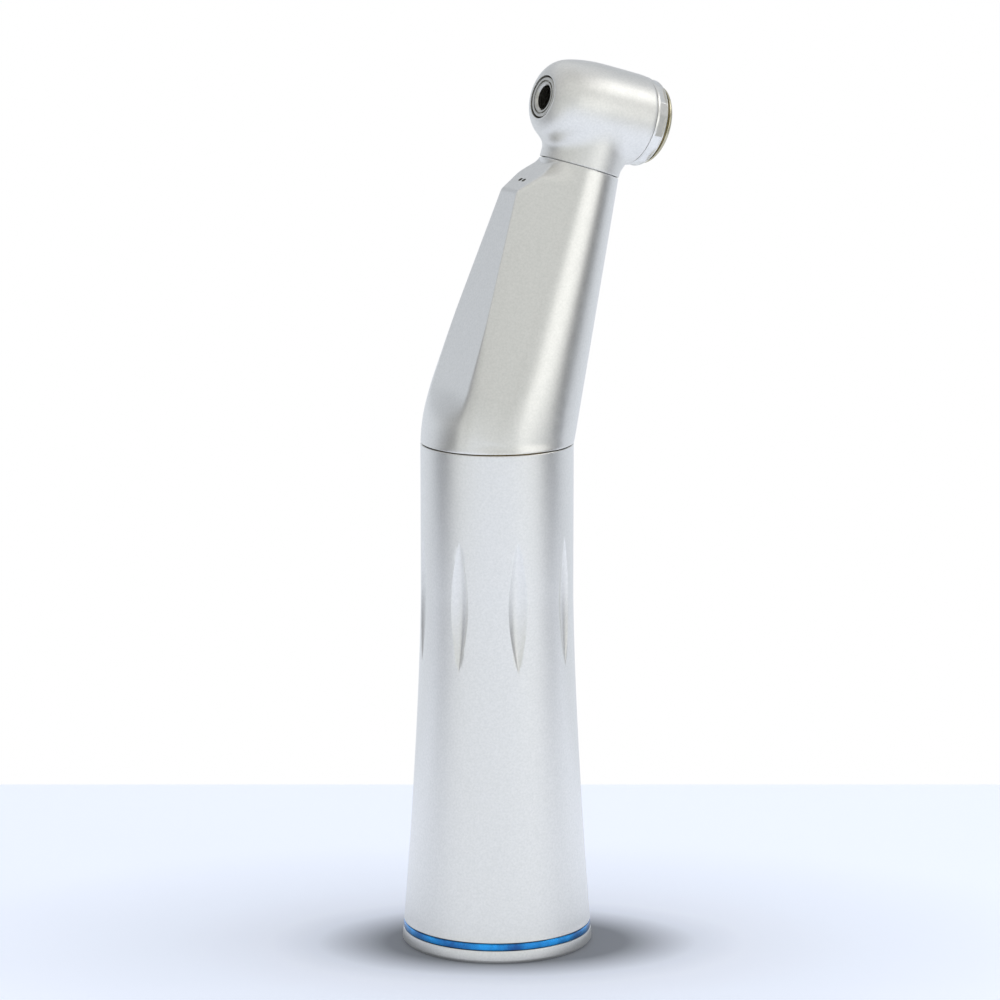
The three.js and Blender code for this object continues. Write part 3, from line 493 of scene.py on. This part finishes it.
def sleeve_ring(radius, height, cut):
    """One ring of the sleeve, its points gathered round the flutes, which may be cut into it."""
    half = FLUTE_WIDTH / 2 * flute_size(height)
    away = max(FLUTE_LOW - height, height - FLUTE_HIGH, 0.0)
    spread = max(half, 0.2) + 1.1 * smooth(away / 3)
    sector = math.pi * radius / FLUTE_COUNT
    inner = spread * np.linspace(-1, 1, 23)[:-1]
    outer = spread + (sector - spread) * np.linspace(0, 1, 8)[:-1] ** 1.2
    side = np.concatenate([-outer[:0:-1], inner, outer])
    side = np.concatenate([[-sector], side])
    depth = np.zeros(len(side))
    if cut and half > 0:
        hollow = FLUTE_DEPTH * flute_size(height) * (1 - (side / half) ** 2)
        depth = -soft_min(-hollow, np.zeros(len(side)), FLUTE_RIM)
        depth = np.where(hollow < -FLUTE_RIM, 0, depth)
    ring = []
    for i in range(FLUTE_COUNT):
        angles = FLUTE_START + 2 * math.pi * i / FLUTE_COUNT + side / radius
        reach = radius - depth
        ring.append(np.stack([reach * np.cos(angles), reach * np.sin(angles)], 1))
    ring = np.concatenate(ring)
    return np.column_stack([ring, np.full(len(ring), height)])


def handle_sleeve():
    """The hollow handle, open at both ends, with the flutes in its outside."""
    low = BAND_TOP + FIT
    high = SEAM_HEIGHT - SEAM_GAP / 2
    edge = SLEEVE_EDGE
    heights = [
        *np.linspace(low + edge, FLUTE_LOW - 0.6, 40),
        *np.linspace(FLUTE_LOW - 0.4, FLUTE_HIGH + 0.4, 150),
        *np.linspace(FLUTE_HIGH + 0.7, high - edge, 14),
    ]
    rows = [(handle_radius(z), z) for z in heights]
    top = [(GRIP_RADIUS, high - 1), (GRIP_RADIUS, high, edge), (7, high)]
    rows += softened(top, False)[1:-1]
    mouth = NUT_OUTER + FIT
    rows += softened([(7.3, high), (mouth, high, 0.05), (mouth, high - 1)], False)
    rows.append((handle_radius(FLARE_TOP) - SLEEVE_WALL, FLARE_TOP))
    rows += [(handle_radius(z) - SLEEVE_WALL, z) for z in np.linspace(30, SLEEVE_SHOULDER, 8)]
    rows += [(SPIGOT_RADIUS + FIT, SLEEVE_SHOULDER), (SPIGOT_RADIUS + FIT, low)]
    foot = handle_radius(low)
    bottom = [(foot - 1, low), (foot, low, edge), (handle_radius(low + 1), low + 1)]
    rows += softened(bottom, False)[1:-1]
    # At the flutes' height only the sleeve's outside is wider than this.
    outside = GRIP_RADIUS - 0.15
    rings = np.array([sleeve_ring(radius, z, radius > outside) for radius, z in rows])
    return rings_mesh("handle_sleeve", rings, looped=True)


def rear_collar():
    """The base of the handle, with a spigot up into the sleeve."""
    chamfer = 0.25
    return turned("rear_collar", [
        (COLLAR_BORE, 0, 0.15),
        (BASE_RADIUS - chamfer, 0, 0.12),
        (BASE_RADIUS, chamfer, 0.12),
        (handle_radius(COLLAR_HEIGHT), COLLAR_HEIGHT, 0.06),
        (SPIGOT_RADIUS, COLLAR_HEIGHT, 0.05),
        (SPIGOT_RADIUS, COLLAR_TOP, 0.15),
        (SPIGOT_RADIUS - COLLAR_WALL, COLLAR_TOP, 0.15),
        (SPIGOT_RADIUS - COLLAR_WALL, COLLAR_FLOOR, 0.1),
        (COLLAR_BORE, COLLAR_FLOOR, 0.15),
    ])


def ratio_ring():
    """The blue band between the collar and the sleeve."""
    low = COLLAR_HEIGHT + FIT
    return turned("ratio_ring", [
        (SPIGOT_RADIUS + FIT, low, 0.05),
        (handle_radius(low), low, 0.09),
        (handle_radius(BAND_TOP), BAND_TOP, 0.09),
        (SPIGOT_RADIUS + FIT, BAND_TOP, 0.05),
    ])


# ---------------------------------------------------------------- neck


NECK_START = NECK.inverted() @ Vector((0, 0, SEAM_HEIGHT + SEAM_GAP / 2))
NECK_END = Vector((0, 0, NECK_LENGTH - SEAM_GAP / 2))
BEVEL_SLOPE = math.atan2(FLAT_DISTANCE - BEVEL_TOP, NECK_LENGTH - FLAT_END)


def neck_field(x, y, z):
    """How far a point in the neck's frame lies outside the neck."""
    share = np.clip((z - NECK_START.z) / (NECK_END.z - NECK_START.z), 0, 1)
    middle = NECK_START.x * (1 - share)
    across = x - middle
    angle = np.abs(np.arctan2(y, -across))
    radius = mix(GRIP_RADIUS, STEM_RADIUS, share)
    distance = FLAT_DISTANCE + middle + FLAT_LEAN * (1 - share)
    half_width = FLAT_HALF_WIDTH + FLAT_WIDENING * (FLAT_END - z)
    flat_angle = np.arctan2(np.maximum(half_width, 0.3), distance)
    corner = distance / np.cos(flat_angle)
    touch_angle = flat_angle + np.arccos(np.minimum(1, radius / corner))
    # Low down, the flat swells out to meet the handle.
    swell = FLAT_SWELL * (1 - smooth(share / FLAT_SWELL_END))
    swell = swell * np.clip(1 - (angle / flat_angle) ** 2, 0, 1)
    flat = (distance + swell) / np.cos(np.minimum(angle, 1.4))
    # The side runs straight from the round part to the flat's corner, and bows slightly near it.
    along = np.clip((touch_angle - angle) / (touch_angle - flat_angle), 0, 1)
    bow = SIDE_BOW * 27 / 4 * along ** 2 * (1 - along)
    side = np.where(angle < touch_angle, radius / np.cos(touch_angle - angle) + bow, radius)
    # The flat's edge is crisp at the top and fades out lower down.
    crease = FLAT_CREASE + FLAT_CREASE_SOFTER * (1 - smooth(share / FLAT_CREASE_END))
    section = np.where(angle < touch_angle, soft_min(flat, side, crease), radius)
    # At the head the section is round again.
    fade = 1 - smooth((share - FLAT_FADE_START) / (1 - FLAT_FADE_START))
    reach = np.hypot(across, y)
    outside = reach - mix(radius, section, fade)
    bevel = (-x - FLAT_DISTANCE) * math.cos(BEVEL_SLOPE) + (z - FLAT_END) * math.sin(BEVEL_SLOPE)
    bevel = np.minimum(bevel, reach - (STEM_RADIUS - FIT))
    outside = -soft_min(-outside, -bevel, BEVEL_ROUNDING)
    # The handle's cylinder carries on up the bur side.
    upright = x * math.cos(NECK_TILT) + z * math.sin(NECK_TILT)
    handle = np.hypot(np.minimum(upright, 0), y) - GRIP_RADIUS
    cut = -soft_min(-outside, -handle, NECK_ROUNDING)
    # At the seam the neck is as round as the handle below it.
    height = z * math.cos(NECK_TILT) - x * math.sin(NECK_TILT)
    cylinder = np.hypot(upright, y) - GRIP_RADIUS
    return mix(cylinder, cut, smooth(height / SEAM_BLEND))


def neck_rings(shares):
    """Rings round the neck, their points gathered at the flat's two edges."""
    rings = []
    for share in shares:
        # The rings start level with the seam and soon stand square to the neck.
        middle = NECK_START.lerp(NECK_END, share)
        turn = NECK_TILT * (smooth(share / 0.14) - 1)
        half_width = FLAT_HALF_WIDTH + FLAT_WIDENING * (FLAT_END - middle.z)
        flat_angle = math.atan2(half_width, FLAT_DISTANCE)
        rim = min(0.05 + 0.25 * (1 - smooth(share / 0.4)), flat_angle / 2)
        half = [
            *np.linspace(0, flat_angle - rim, 20, endpoint=False),
            *np.linspace(flat_angle - rim, flat_angle + rim, 24, endpoint=False),
            *np.linspace(flat_angle + rim, 1.4, 40, endpoint=False),
            *np.linspace(1.4, math.pi, 48),
        ]
        angles = np.array(half + [-angle for angle in half[-2:0:-1]])
        toward = np.stack([
            -np.cos(angles) * math.cos(turn), np.sin(angles), np.cos(angles) * math.sin(turn),
        ], 1)
        # The surface lies between a point inside the neck and one outside it, on each ray.
        low, high = np.full(len(angles), 2.0), np.full(len(angles), 11.0)
        for _ in range(40):
            reach = (low + high) / 2
            points = np.array(middle) + toward * reach[:, None]
            inside = neck_field(*points.T) < 0
            low, high = np.where(inside, reach, low), np.where(inside, high, reach)
        rings.append(np.array(middle) + toward * low[:, None])
    return rings


def rounded_rim(ring, neighbour, inset=0.08):
    """The two rings that round off an end ring: the end face's edge and one at the corner."""
    inwards = ring.mean(0) - ring
    edge = ring + inwards / np.linalg.norm(inwards, axis=1)[:, None] * inset
    return edge, (edge * 0.3 + ring * 0.7) * 0.85 + neighbour * 0.15


def neck_sleeve():
    """The neck, with its bore, the joint nut's space, the water channel and the spray holes."""
    rings = neck_rings([
        *np.linspace(0, 0.25, 60, endpoint=False),
        *np.linspace(0.25, 0.84, 60, endpoint=False),
        *np.linspace(0.84, 1, 80),
    ])
    low, low_corner = rounded_rim(rings[0], rings[1])
    high, high_corner = rounded_rim(rings[-1], rings[-2])
    rings = np.array([low, low_corner, *rings[1:-1], high_corner, high])
    outside = rings_mesh("neck_sleeve", rings)
    past_end = NECK_LENGTH + 0.5
    bore = turned("bore", [
        (0, -3), (5.6, -3), (5.6, 4), (NECK_BORE_TOP, past_end), (0, past_end),
    ], TOOL_SEGMENTS)
    nut_space = NUT_OUTER + FIT
    nut = moved(turned("nut", [
        (0, 45), (nut_space, 45), (nut_space, NUT_TOP + 0.1), (0, NUT_TOP + 0.1),
    ], TOOL_SEGMENTS), NECK.inverted())
    channel = between(
        "channel", (-CHANNEL_OFFSET, 0, 1), (-CHANNEL_OFFSET, 0, FLAT_END + 0.9), CHANNEL_RADIUS)
    outwards_from = Vector((-math.cos(BEVEL_SLOPE), 0, math.sin(BEVEL_SLOPE)))
    holes = []
    for side in (-SPRAY_OFFSET, SPRAY_OFFSET):
        start = Vector((-CHANNEL_OFFSET, side, FLAT_END + 0.5))
        holes.append(between("hole", start, start + outwards_from * 4, SPRAY_RADIUS, 32))
    return boolean(outside, [bore, nut, channel, *holes])


# ---------------------------------------------------------------- head


def head_profile():
    """The housing's outside along the bur axis, as [distance, radius]."""
    return np.array(through(HEAD_OUTLINE[:-1], 8) + [HEAD_OUTLINE[-1]])


def head_housing():
    """The barrel round the chuck and the stem down to the neck, joined by a hollow blend."""
    profile = head_profile()
    edge = 0.07
    outline = [(0, HEAD_REAR), (profile[0, 1], HEAD_REAR, edge)]
    outline += [(radius, along) for along, radius in profile[1:-1]]
    outline += [(HEAD_OUTLINE[-1][1], HEAD_FRONT, 0.05), (0, HEAD_FRONT)]
    barrel = turned("barrel", outline)

    # The stem has many rows, because the blend moves its points.
    low, high = NECK_LENGTH + SEAM_GAP / 2, NECK_AXIS - 0.2
    stem_outline = [(0, low), (STEM_RADIUS, low, edge)]
    stem_outline += [(STEM_RADIUS, z) for z in np.arange(low + 0.2, high - 0.2, 0.1)]
    stem_outline += [(STEM_RADIUS, high), (0, high)]
    to_head = HEAD.inverted() @ NECK
    stem = moved(turned("stem", stem_outline), to_head)
    below = NECK_LENGTH - 1
    stem_bore = moved(turned("stem_bore", [
        (0, below), (NECK_BORE_TOP, below), (NECK_BORE_TOP, STEM_STEP),
        (STEM_BORE, STEM_STEP + 0.5), (STEM_BORE, NECK_AXIS), (0, NECK_AXIS),
    ], TOOL_SEGMENTS), to_head)

    seat = HEAD_BEARING + BEARING_HALF + FIT
    mouth = CHUCK_OPENING - 0.05
    before, past = HEAD_REAR - 1, HEAD_FRONT + 1
    bore = turned("bore", [
        (0, before), (CAP_BORE, before), (CAP_BORE, CAP_SEAT),
        (RACE_SEAT, CAP_SEAT), (RACE_SEAT, seat), (CHUCK_OPENING, seat),
        (mouth, HEAD_FRONT - 0.4), (mouth, past), (0, past),
    ], SMALL_SEGMENTS)
    mesh = boolean(barrel, [stem], "UNION")
    blend_stem(mesh, profile, to_head)
    return boolean(mesh, [stem_bore, bore])


def blend_stem(mesh, profile, to_head):
    """Fills the corner between stem and barrel with a hollow blend, widest on the button's side."""
    co = np.empty(len(mesh.vertices) * 3)
    mesh.vertices.foreach_get("co", co)
    co = co.reshape(-1, 3)
    centre = np.array(to_head @ Vector((0, 0, NECK_AXIS)))
    axis = np.array((to_head.to_3x3() @ Vector((0, 0, 1))).normalized())
    away = np.array((to_head.to_3x3() @ Vector((1, 0, 0))).normalized())

    def distances(points):
        reach = np.hypot(points[:, 0], points[:, 1])
        barrel = reach - np.interp(points[:, 2], profile[:, 0], profile[:, 1])
        rel = points - centre
        out = rel - (rel @ axis)[:, None] * axis
        size = np.linalg.norm(out, axis=1)
        # Where both face the same way, there is no corner to fill.
        facing = (out[:, 0] * points[:, 0] + out[:, 1] * points[:, 1]) / (size * reach + 1e-9)
        corner = np.clip(1 - facing, 0, 1)
        return barrel, size - STEM_RADIUS, out @ away / STEM_RADIUS, corner

    def field(points):
        barrel, stem, side, corner = distances(points)
        width = STEM_FILLET + STEM_FILLET_EXTRA * np.clip(side * 0.5 + 0.5, 0, 1)
        width = width * np.sqrt(corner)
        # It narrows at the cap's seam, which it must not reach past.
        width = width * np.clip((points[:, 2] - HEAD_REAR) / 0.9, 0.3, 1)
        return soft_min(barrel, stem, width)

    # Only points on the outside near the corner move, and none at the seams.
    barrel, stem, _, _ = distances(co)
    along_stem = (co - centre) @ axis
    near = (along_stem < -0.5) & (along_stem > -HEAD_RISE + 0.25)
    near &= (co[:, 2] > HEAD_REAR + 0.01) & (co[:, 2] < HEAD_FRONT - 0.06)
    near &= np.abs(np.minimum(barrel, stem)) < 0.05
    near &= np.abs(barrel - stem) < 1.9
    points = co[near]
    nudge = 1e-3
    for _ in range(12):
        value = field(points)
        gradient = np.stack([
            (field(points + step) - field(points - step)) / (2 * nudge)
            for step in np.eye(3) * nudge
        ], 1)
        size = np.maximum((gradient ** 2).sum(1), 0.2)
        points = points - gradient * (value / size)[:, None]
    co[near] = points
    mesh.vertices.foreach_set("co", co.ravel())
    mesh.update()


def head_cap():
    """Cap with a thin lip at each end and, between them, eight wide and eight narrow flats."""
    opening = BUTTON_SHANK + 0.07
    inner_radius = RACE_OUTER + 0.1
    spigot = CAP_BORE - FIT
    seam = HEAD_REAR - FIT
    front = CAP_SEAT - FIT
    high, low = CAP_BAND_HIGH, CAP_BAND_LOW
    hair = 0.001
    columns = 480
    angles = 2 * np.pi * np.arange(columns) / columns
    eighth = np.pi / 4
    wide = np.cos((angles + eighth / 2) % eighth - eighth / 2)
    narrow = np.cos(angles % eighth - eighth / 2)

    def band(height):
        t = (high - height) / (high - low)
        flats = soft_min(mix(4.3, 4.19, t) / wide, mix(4.4, 4.29, t) / narrow, 0.015)
        return soft_min(flats, np.full(columns, mix(4.45, 4.35, t)), 0.01)

    before = softened([
        (inner_radius, front, 0.08), (spigot, front, 0.08), (spigot, seam, 0.05),
        (4.44, seam, 0.04), (4.46, high, 0.04), (4.3, high),
    ], False)
    after = softened([
        (4.2, low - hair), (4.34, low - hair, 0.03), (4.31, CAP_REAR, 0.05),
        (opening, CAP_REAR, 0.05), (opening, CAP_MOUTH, 0.03), (CAP_CAVITY, CAP_MOUTH, 0.05),
        (CAP_CAVITY, CAP_FLOOR, 0.05), (inner_radius, CAP_FLOOR, 0.05), (inner_radius, front),
    ], False)
    banded = np.linspace(high - 0.05, low + 0.05, 12)
    rows = [(np.full(columns, r), z) for r, z in before[:-1]]
    rows += [(band(z), z) for z in (high + hair, high - 0.015, *banded, low + 0.015, low)]
    rows += [(np.full(columns, r), z) for r, z in after[1:-1]]
    rings = np.array([
        np.stack([r * np.cos(angles), r * np.sin(angles), np.full(columns, z)], 1)
        for r, z in rows
    ])
    return rings_mesh("head_cap", rings, looped=True)


def push_button():
    """A mushroom: a round-edged head with a faintly dished face, a shank, a flange and a boss."""
    head_front = CAP_REAR - BUTTON_STROKE - FIT
    flange = CAP_CAVITY - 0.07
    flange_rear, flange_front = BUTTON_FLANGE
    inside = BUTTON_REAR + 0.42
    dish, dish_depth = 2.9, 0.05
    return turned("push_button", [
        *((r, BUTTON_REAR + dish_depth * (1 - (r / dish) ** 2)) for r in np.linspace(0, dish, 12)),
        (3.2, BUTTON_REAR, 0.15),
        (3.54, BUTTON_REAR + 0.11, 0.2),
        (3.8, BUTTON_REAR + 0.29, 0.2),
        (BUTTON_RADIUS, -6.4, 0.12),
        (BUTTON_RADIUS - 0.01, head_front, 0.06),
        (BUTTON_SHANK, head_front, 0.05),
        (BUTTON_SHANK, flange_rear, 0.04),
        (flange, flange_rear, 0.04),
        (flange, flange_front, 0.04),
        (3.1, flange_front, 0.05),
        (3.1, inside, 0.1),
        (1, inside, 0.08),
        (1, BUTTON_BOSS, 0.08),
        (0, BUTTON_BOSS),
    ])


def chuck_spindle():
    """The tube that holds the bur: a flange with one turned groove, a shaft, and its bore."""
    front = HEAD_FRONT - 0.05
    groove = front - 0.25
    seat = HEAD_BEARING + BEARING_HALF + 0.08
    shaft = SHAFT_RADIUS - 0.02
    return turned("chuck_spindle", [
        (BUR_RADIUS + 0.02, front - 0.2, 0.03),
        (BUR_RADIUS + 0.2, front, 0.04),
        (1.52, front, 0.02),
        (1.55, groove, 0.02),
        (1.66, groove, 0.02),
        (1.69, front, 0.02),
        (1.94, front, 0.05),
        (2.0, front - 0.1, 0.04),
        (2.08, seat + 0.3, 0.04),
        (2.08, seat, 0.04),
        (shaft, seat, 0.04),
        (shaft, CHUCK_REAR, 0.08),
        (CHUCK_BORE, CHUCK_REAR, 0.08),
        (CHUCK_BORE, COLLET_REAR, 0.05),
        (BUR_RADIUS + 0.02, COLLET_REAR, 0.03),
    ], SMALL_SEGMENTS)


# ---------------------------------------------------------------- assembly

place("handle_sleeve", handle_sleeve(), HANDLE, "casing", satin_steel)
place("rear_collar", rear_collar(), HANDLE, "casing", satin_steel)
place("ratio_ring", ratio_ring(), HANDLE, "casing", blue_anodised)
place("neck_sleeve", neck_sleeve(), NECK, "casing", satin_steel)
place("head_housing", head_housing(), HEAD, "casing", head_satin)
place("head_cap", head_cap(), HEAD, "casing", satin_steel)
place("push_button", push_button(), HEAD, "button", button_gold)
place("chuck_spindle", chuck_spindle(), HEAD, "chuck_rotor", chuck_steel)


def place_spring(name, body):
    """A copy of a CAD coil, in spring steel, that rides with its body."""
    node = frame["nodes"][name]
    piece = link_object(f"{name}_coil", node.data.copy())
    piece.matrix_world = node.matrix_world
    piece.data.materials.clear()
    piece.data.materials.append(spring_steel)
    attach(piece, body)
    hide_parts(name)
    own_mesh(piece)


place_spring("dog_spring", "rear_rotor")
place_spring("button_spring", "casing")

# The pieces inside keep the CAD mesh, in the material of their slot.
material_of = dict(
    satin_steel=satin_steel, blue_anodised=blue_anodised, machined_steel=machined_steel,
    gear_steel=gear_steel, spring_steel=spring_steel, brass=brass, cage_brass=cage_brass,
    race_steel=race_steel, button_gold=button_gold, black_rubber=black_rubber,
)
for row in frame["record"]["subparts"]:
    node = frame["nodes"][row["node"]]
    node.data.materials.clear()
    node.data.materials.append(material_of[row["material_slot"]])

# ---------------------------------------------------------------- stage

# The stage's lengths are in metres.
CAMERA_AZIMUTH = math.radians(-28.856)
CAMERA_PITCH = math.radians(11.086)
CAMERA_DISTANCE = 0.43665
CAMERA_LENS = 159.27
AIM_HEIGHT = 0.04478
AIM_RIGHT = 0.00029
FLOOR_BEHIND = 0.0601
FLOOR_AHEAD = 0.6
FLOOR_SIDE = 0.2
FLOOR_GAP = 0.00004
FLOOR_GLOW = 0.42


def facing(azimuth, elevation):
    """The direction from the handpiece towards a camera or a light."""
    return Vector((
        math.sin(azimuth) * math.cos(elevation),
        -math.cos(azimuth) * math.cos(elevation),
        math.sin(elevation),
    ))


def aim(thing, target, away, distance):
    """Stands a camera or light the distance away from the target, pointing at it."""
    thing.rotation_mode = "QUATERNION"
    thing.location = Vector(target) + away * distance
    thing.rotation_quaternion = (-away).to_track_quat("-Z", "Y")


right = Vector((math.cos(CAMERA_AZIMUTH), math.sin(CAMERA_AZIMUTH), 0))
towards = facing(CAMERA_AZIMUTH, 0)
camera = link_object("camera", bpy.data.cameras.new("camera"))
camera.data.sensor_width = 36
camera.data.lens = CAMERA_LENS
camera.data.clip_start = 0.01
camera.data.clip_end = 20
look_at = Vector((0, 0, AIM_HEIGHT)) + right * AIM_RIGHT
aim(camera, look_at, facing(CAMERA_AZIMUTH, CAMERA_PITCH), CAMERA_DISTANCE)
bpy.context.scene.camera = camera

floor_mesh = bpy.data.meshes.new("floor")
corners = [
    towards * along + right * across
    for along, across in (
        (-FLOOR_BEHIND, -FLOOR_SIDE), (FLOOR_AHEAD, -FLOOR_SIDE),
        (FLOOR_AHEAD, FLOOR_SIDE), (-FLOOR_BEHIND, FLOOR_SIDE),
    )
]
floor_mesh.from_pydata([(c.x, c.y, -FLOOR_GAP) for c in corners], [], [(0, 1, 2, 3)])
floor_object = link_object("floor", floor_mesh)
floor = Material("floor", metallic=0.0)
# Painted shadow: the floor's colour darkens under and beside the base, by the distance from it, in
# an ellipse, as a contact shadow.
shadow_ellipse = floor.node("ShaderNodeMapping", {
    "Vector": floor.place, "Location": (right * 1.0 + towards * 1.5) * MM,
    "Rotation": (0, 0, CAMERA_AZIMUTH), "Scale": (1, 0.62, 1),
}, vector_type="TEXTURE").outputs["Vector"]
spread = floor.node("ShaderNodeVectorMath", {0: shadow_ellipse}, operation="LENGTH").outputs["Value"]
# Noise roughens the edge of the painted shadow.
mottled_shadow_distance = floor.node("ShaderNodeMath", {
    0: floor.noise(40, 2), 1: 0.002, 2: spread,
}, operation="MULTIPLY_ADD").outputs["Value"]
floor_colour_and_painted_shadow = floor.ramp(floor.map_range(mottled_shadow_distance, 0.001, 0.081), [
    (0.15, (0.16, 0.17, 0.19)), (0.2, (0.39, 0.41, 0.46)), (0.24, (0.57, 0.6, 0.67)),
    (0.3, (0.66, 0.69, 0.77)), (0.43, (0.71, 0.75, 0.84)), (0.75, (0.79, 0.83, 0.93)),
])
floor.put(floor_colour_and_painted_shadow, floor.shader.inputs["Base Color"])
# The floor also glows in this colour, painted shadow included.
floor.put(floor_colour_and_painted_shadow, floor.shader.inputs["Emission Color"])
floor.shader.inputs["Emission Strength"].default_value = FLOOR_GLOW
floor.roughness(floor.noise(60, 2), 0.7, 0.8)
floor_mesh.materials.append(floor.made)


def softbox(name, azimuth, elevation, distance, size, power, target=(0, 0, 0.05)):
    """A soft light; its azimuth is in degrees from the camera's."""
    light = bpy.data.lights.new(name, "AREA")
    light.shape = "RECTANGLE"
    light.size, light.size_y = size
    light.energy = power
    made = link_object(name, light)
    away = facing(CAMERA_AZIMUTH + math.radians(azimuth), math.radians(elevation))
    aim(made, target, away, distance)
    made.visible_camera = False


softbox("top_light", -30, 84, 0.9, (2.4, 2.4), 5.5)
softbox("right_light", 90, 38, 0.6, (0.35, 0.2), 0.4, (0.01, 0, 0.08))
softbox("side_light", 55, 8, 0.25, (0.2, 0.13), 0.05, (0.008, 0, 0.085))

world = bpy.data.worlds.new("studio")
bpy.context.scene.world = world
world.use_nodes = True
studio = Graph(world.node_tree)
direction = studio.nodes.new("ShaderNodeTexCoord").outputs["Generated"]
upwards = studio.node("ShaderNodeSeparateXYZ", {0: direction}).outputs["Z"]
forwards = studio.node("ShaderNodeVectorMath", {
    0: direction, 1: towards,
}, operation="DOT_PRODUCT").outputs["Value"]
front_share = studio.map_range(forwards, -1, 1)


def surroundings(sides):
    """The studio from back to front: cool, then the given colour at the sides, then neutral."""
    return studio.ramp(front_share, [
        (0.0, (0.78, 0.83, 0.92)), (0.3, (0.76, 0.81, 0.9)), (0.45, sides), (0.6, sides),
        (0.74, (0.76, 0.785, 0.79)), (1.0, (0.76, 0.785, 0.79)),
    ], "B_SPLINE")


# Black cards stand at the sides, at the level that the upright handle reflects to the camera.
HANDLE_LEVEL = -0.19
off_level = studio.node("ShaderNodeMath", {0: upwards, 1: -HANDLE_LEVEL}, operation="ADD")
off_level = studio.node("ShaderNodeMath", {0: off_level.outputs["Value"]}, operation="ABSOLUTE")
around_us = studio.node("ShaderNodeMix", {
    0: studio.map_range(off_level.outputs["Value"], 0.05, 0.3),
    6: surroundings((0.02, 0.021, 0.024)),
    7: surroundings((0.42, 0.43, 0.45)),
}, data_type="RGBA")
# The studio is darker higher up.
dimmed = studio.node("ShaderNodeVectorMath", {
    0: around_us.outputs[2], "Scale": studio.map_range(upwards, 0.05, 0.5, 1.0, 0.6),
}, operation="SCALE")
# Seen straight on, the backdrop is plain white.
seen = studio.node("ShaderNodeMix", {
    0: studio.nodes.new("ShaderNodeLightPath").outputs["Is Camera Ray"],
    6: dimmed.outputs[0],
    7: (1, 1, 1, 1),
}, data_type="RGBA")
background = studio.nodes["Background"]
studio.put(seen.outputs[2], background.inputs["Color"])
background.inputs["Strength"].default_value = 1.0
bpy.context.scene.view_settings.view_transform = "Standard"
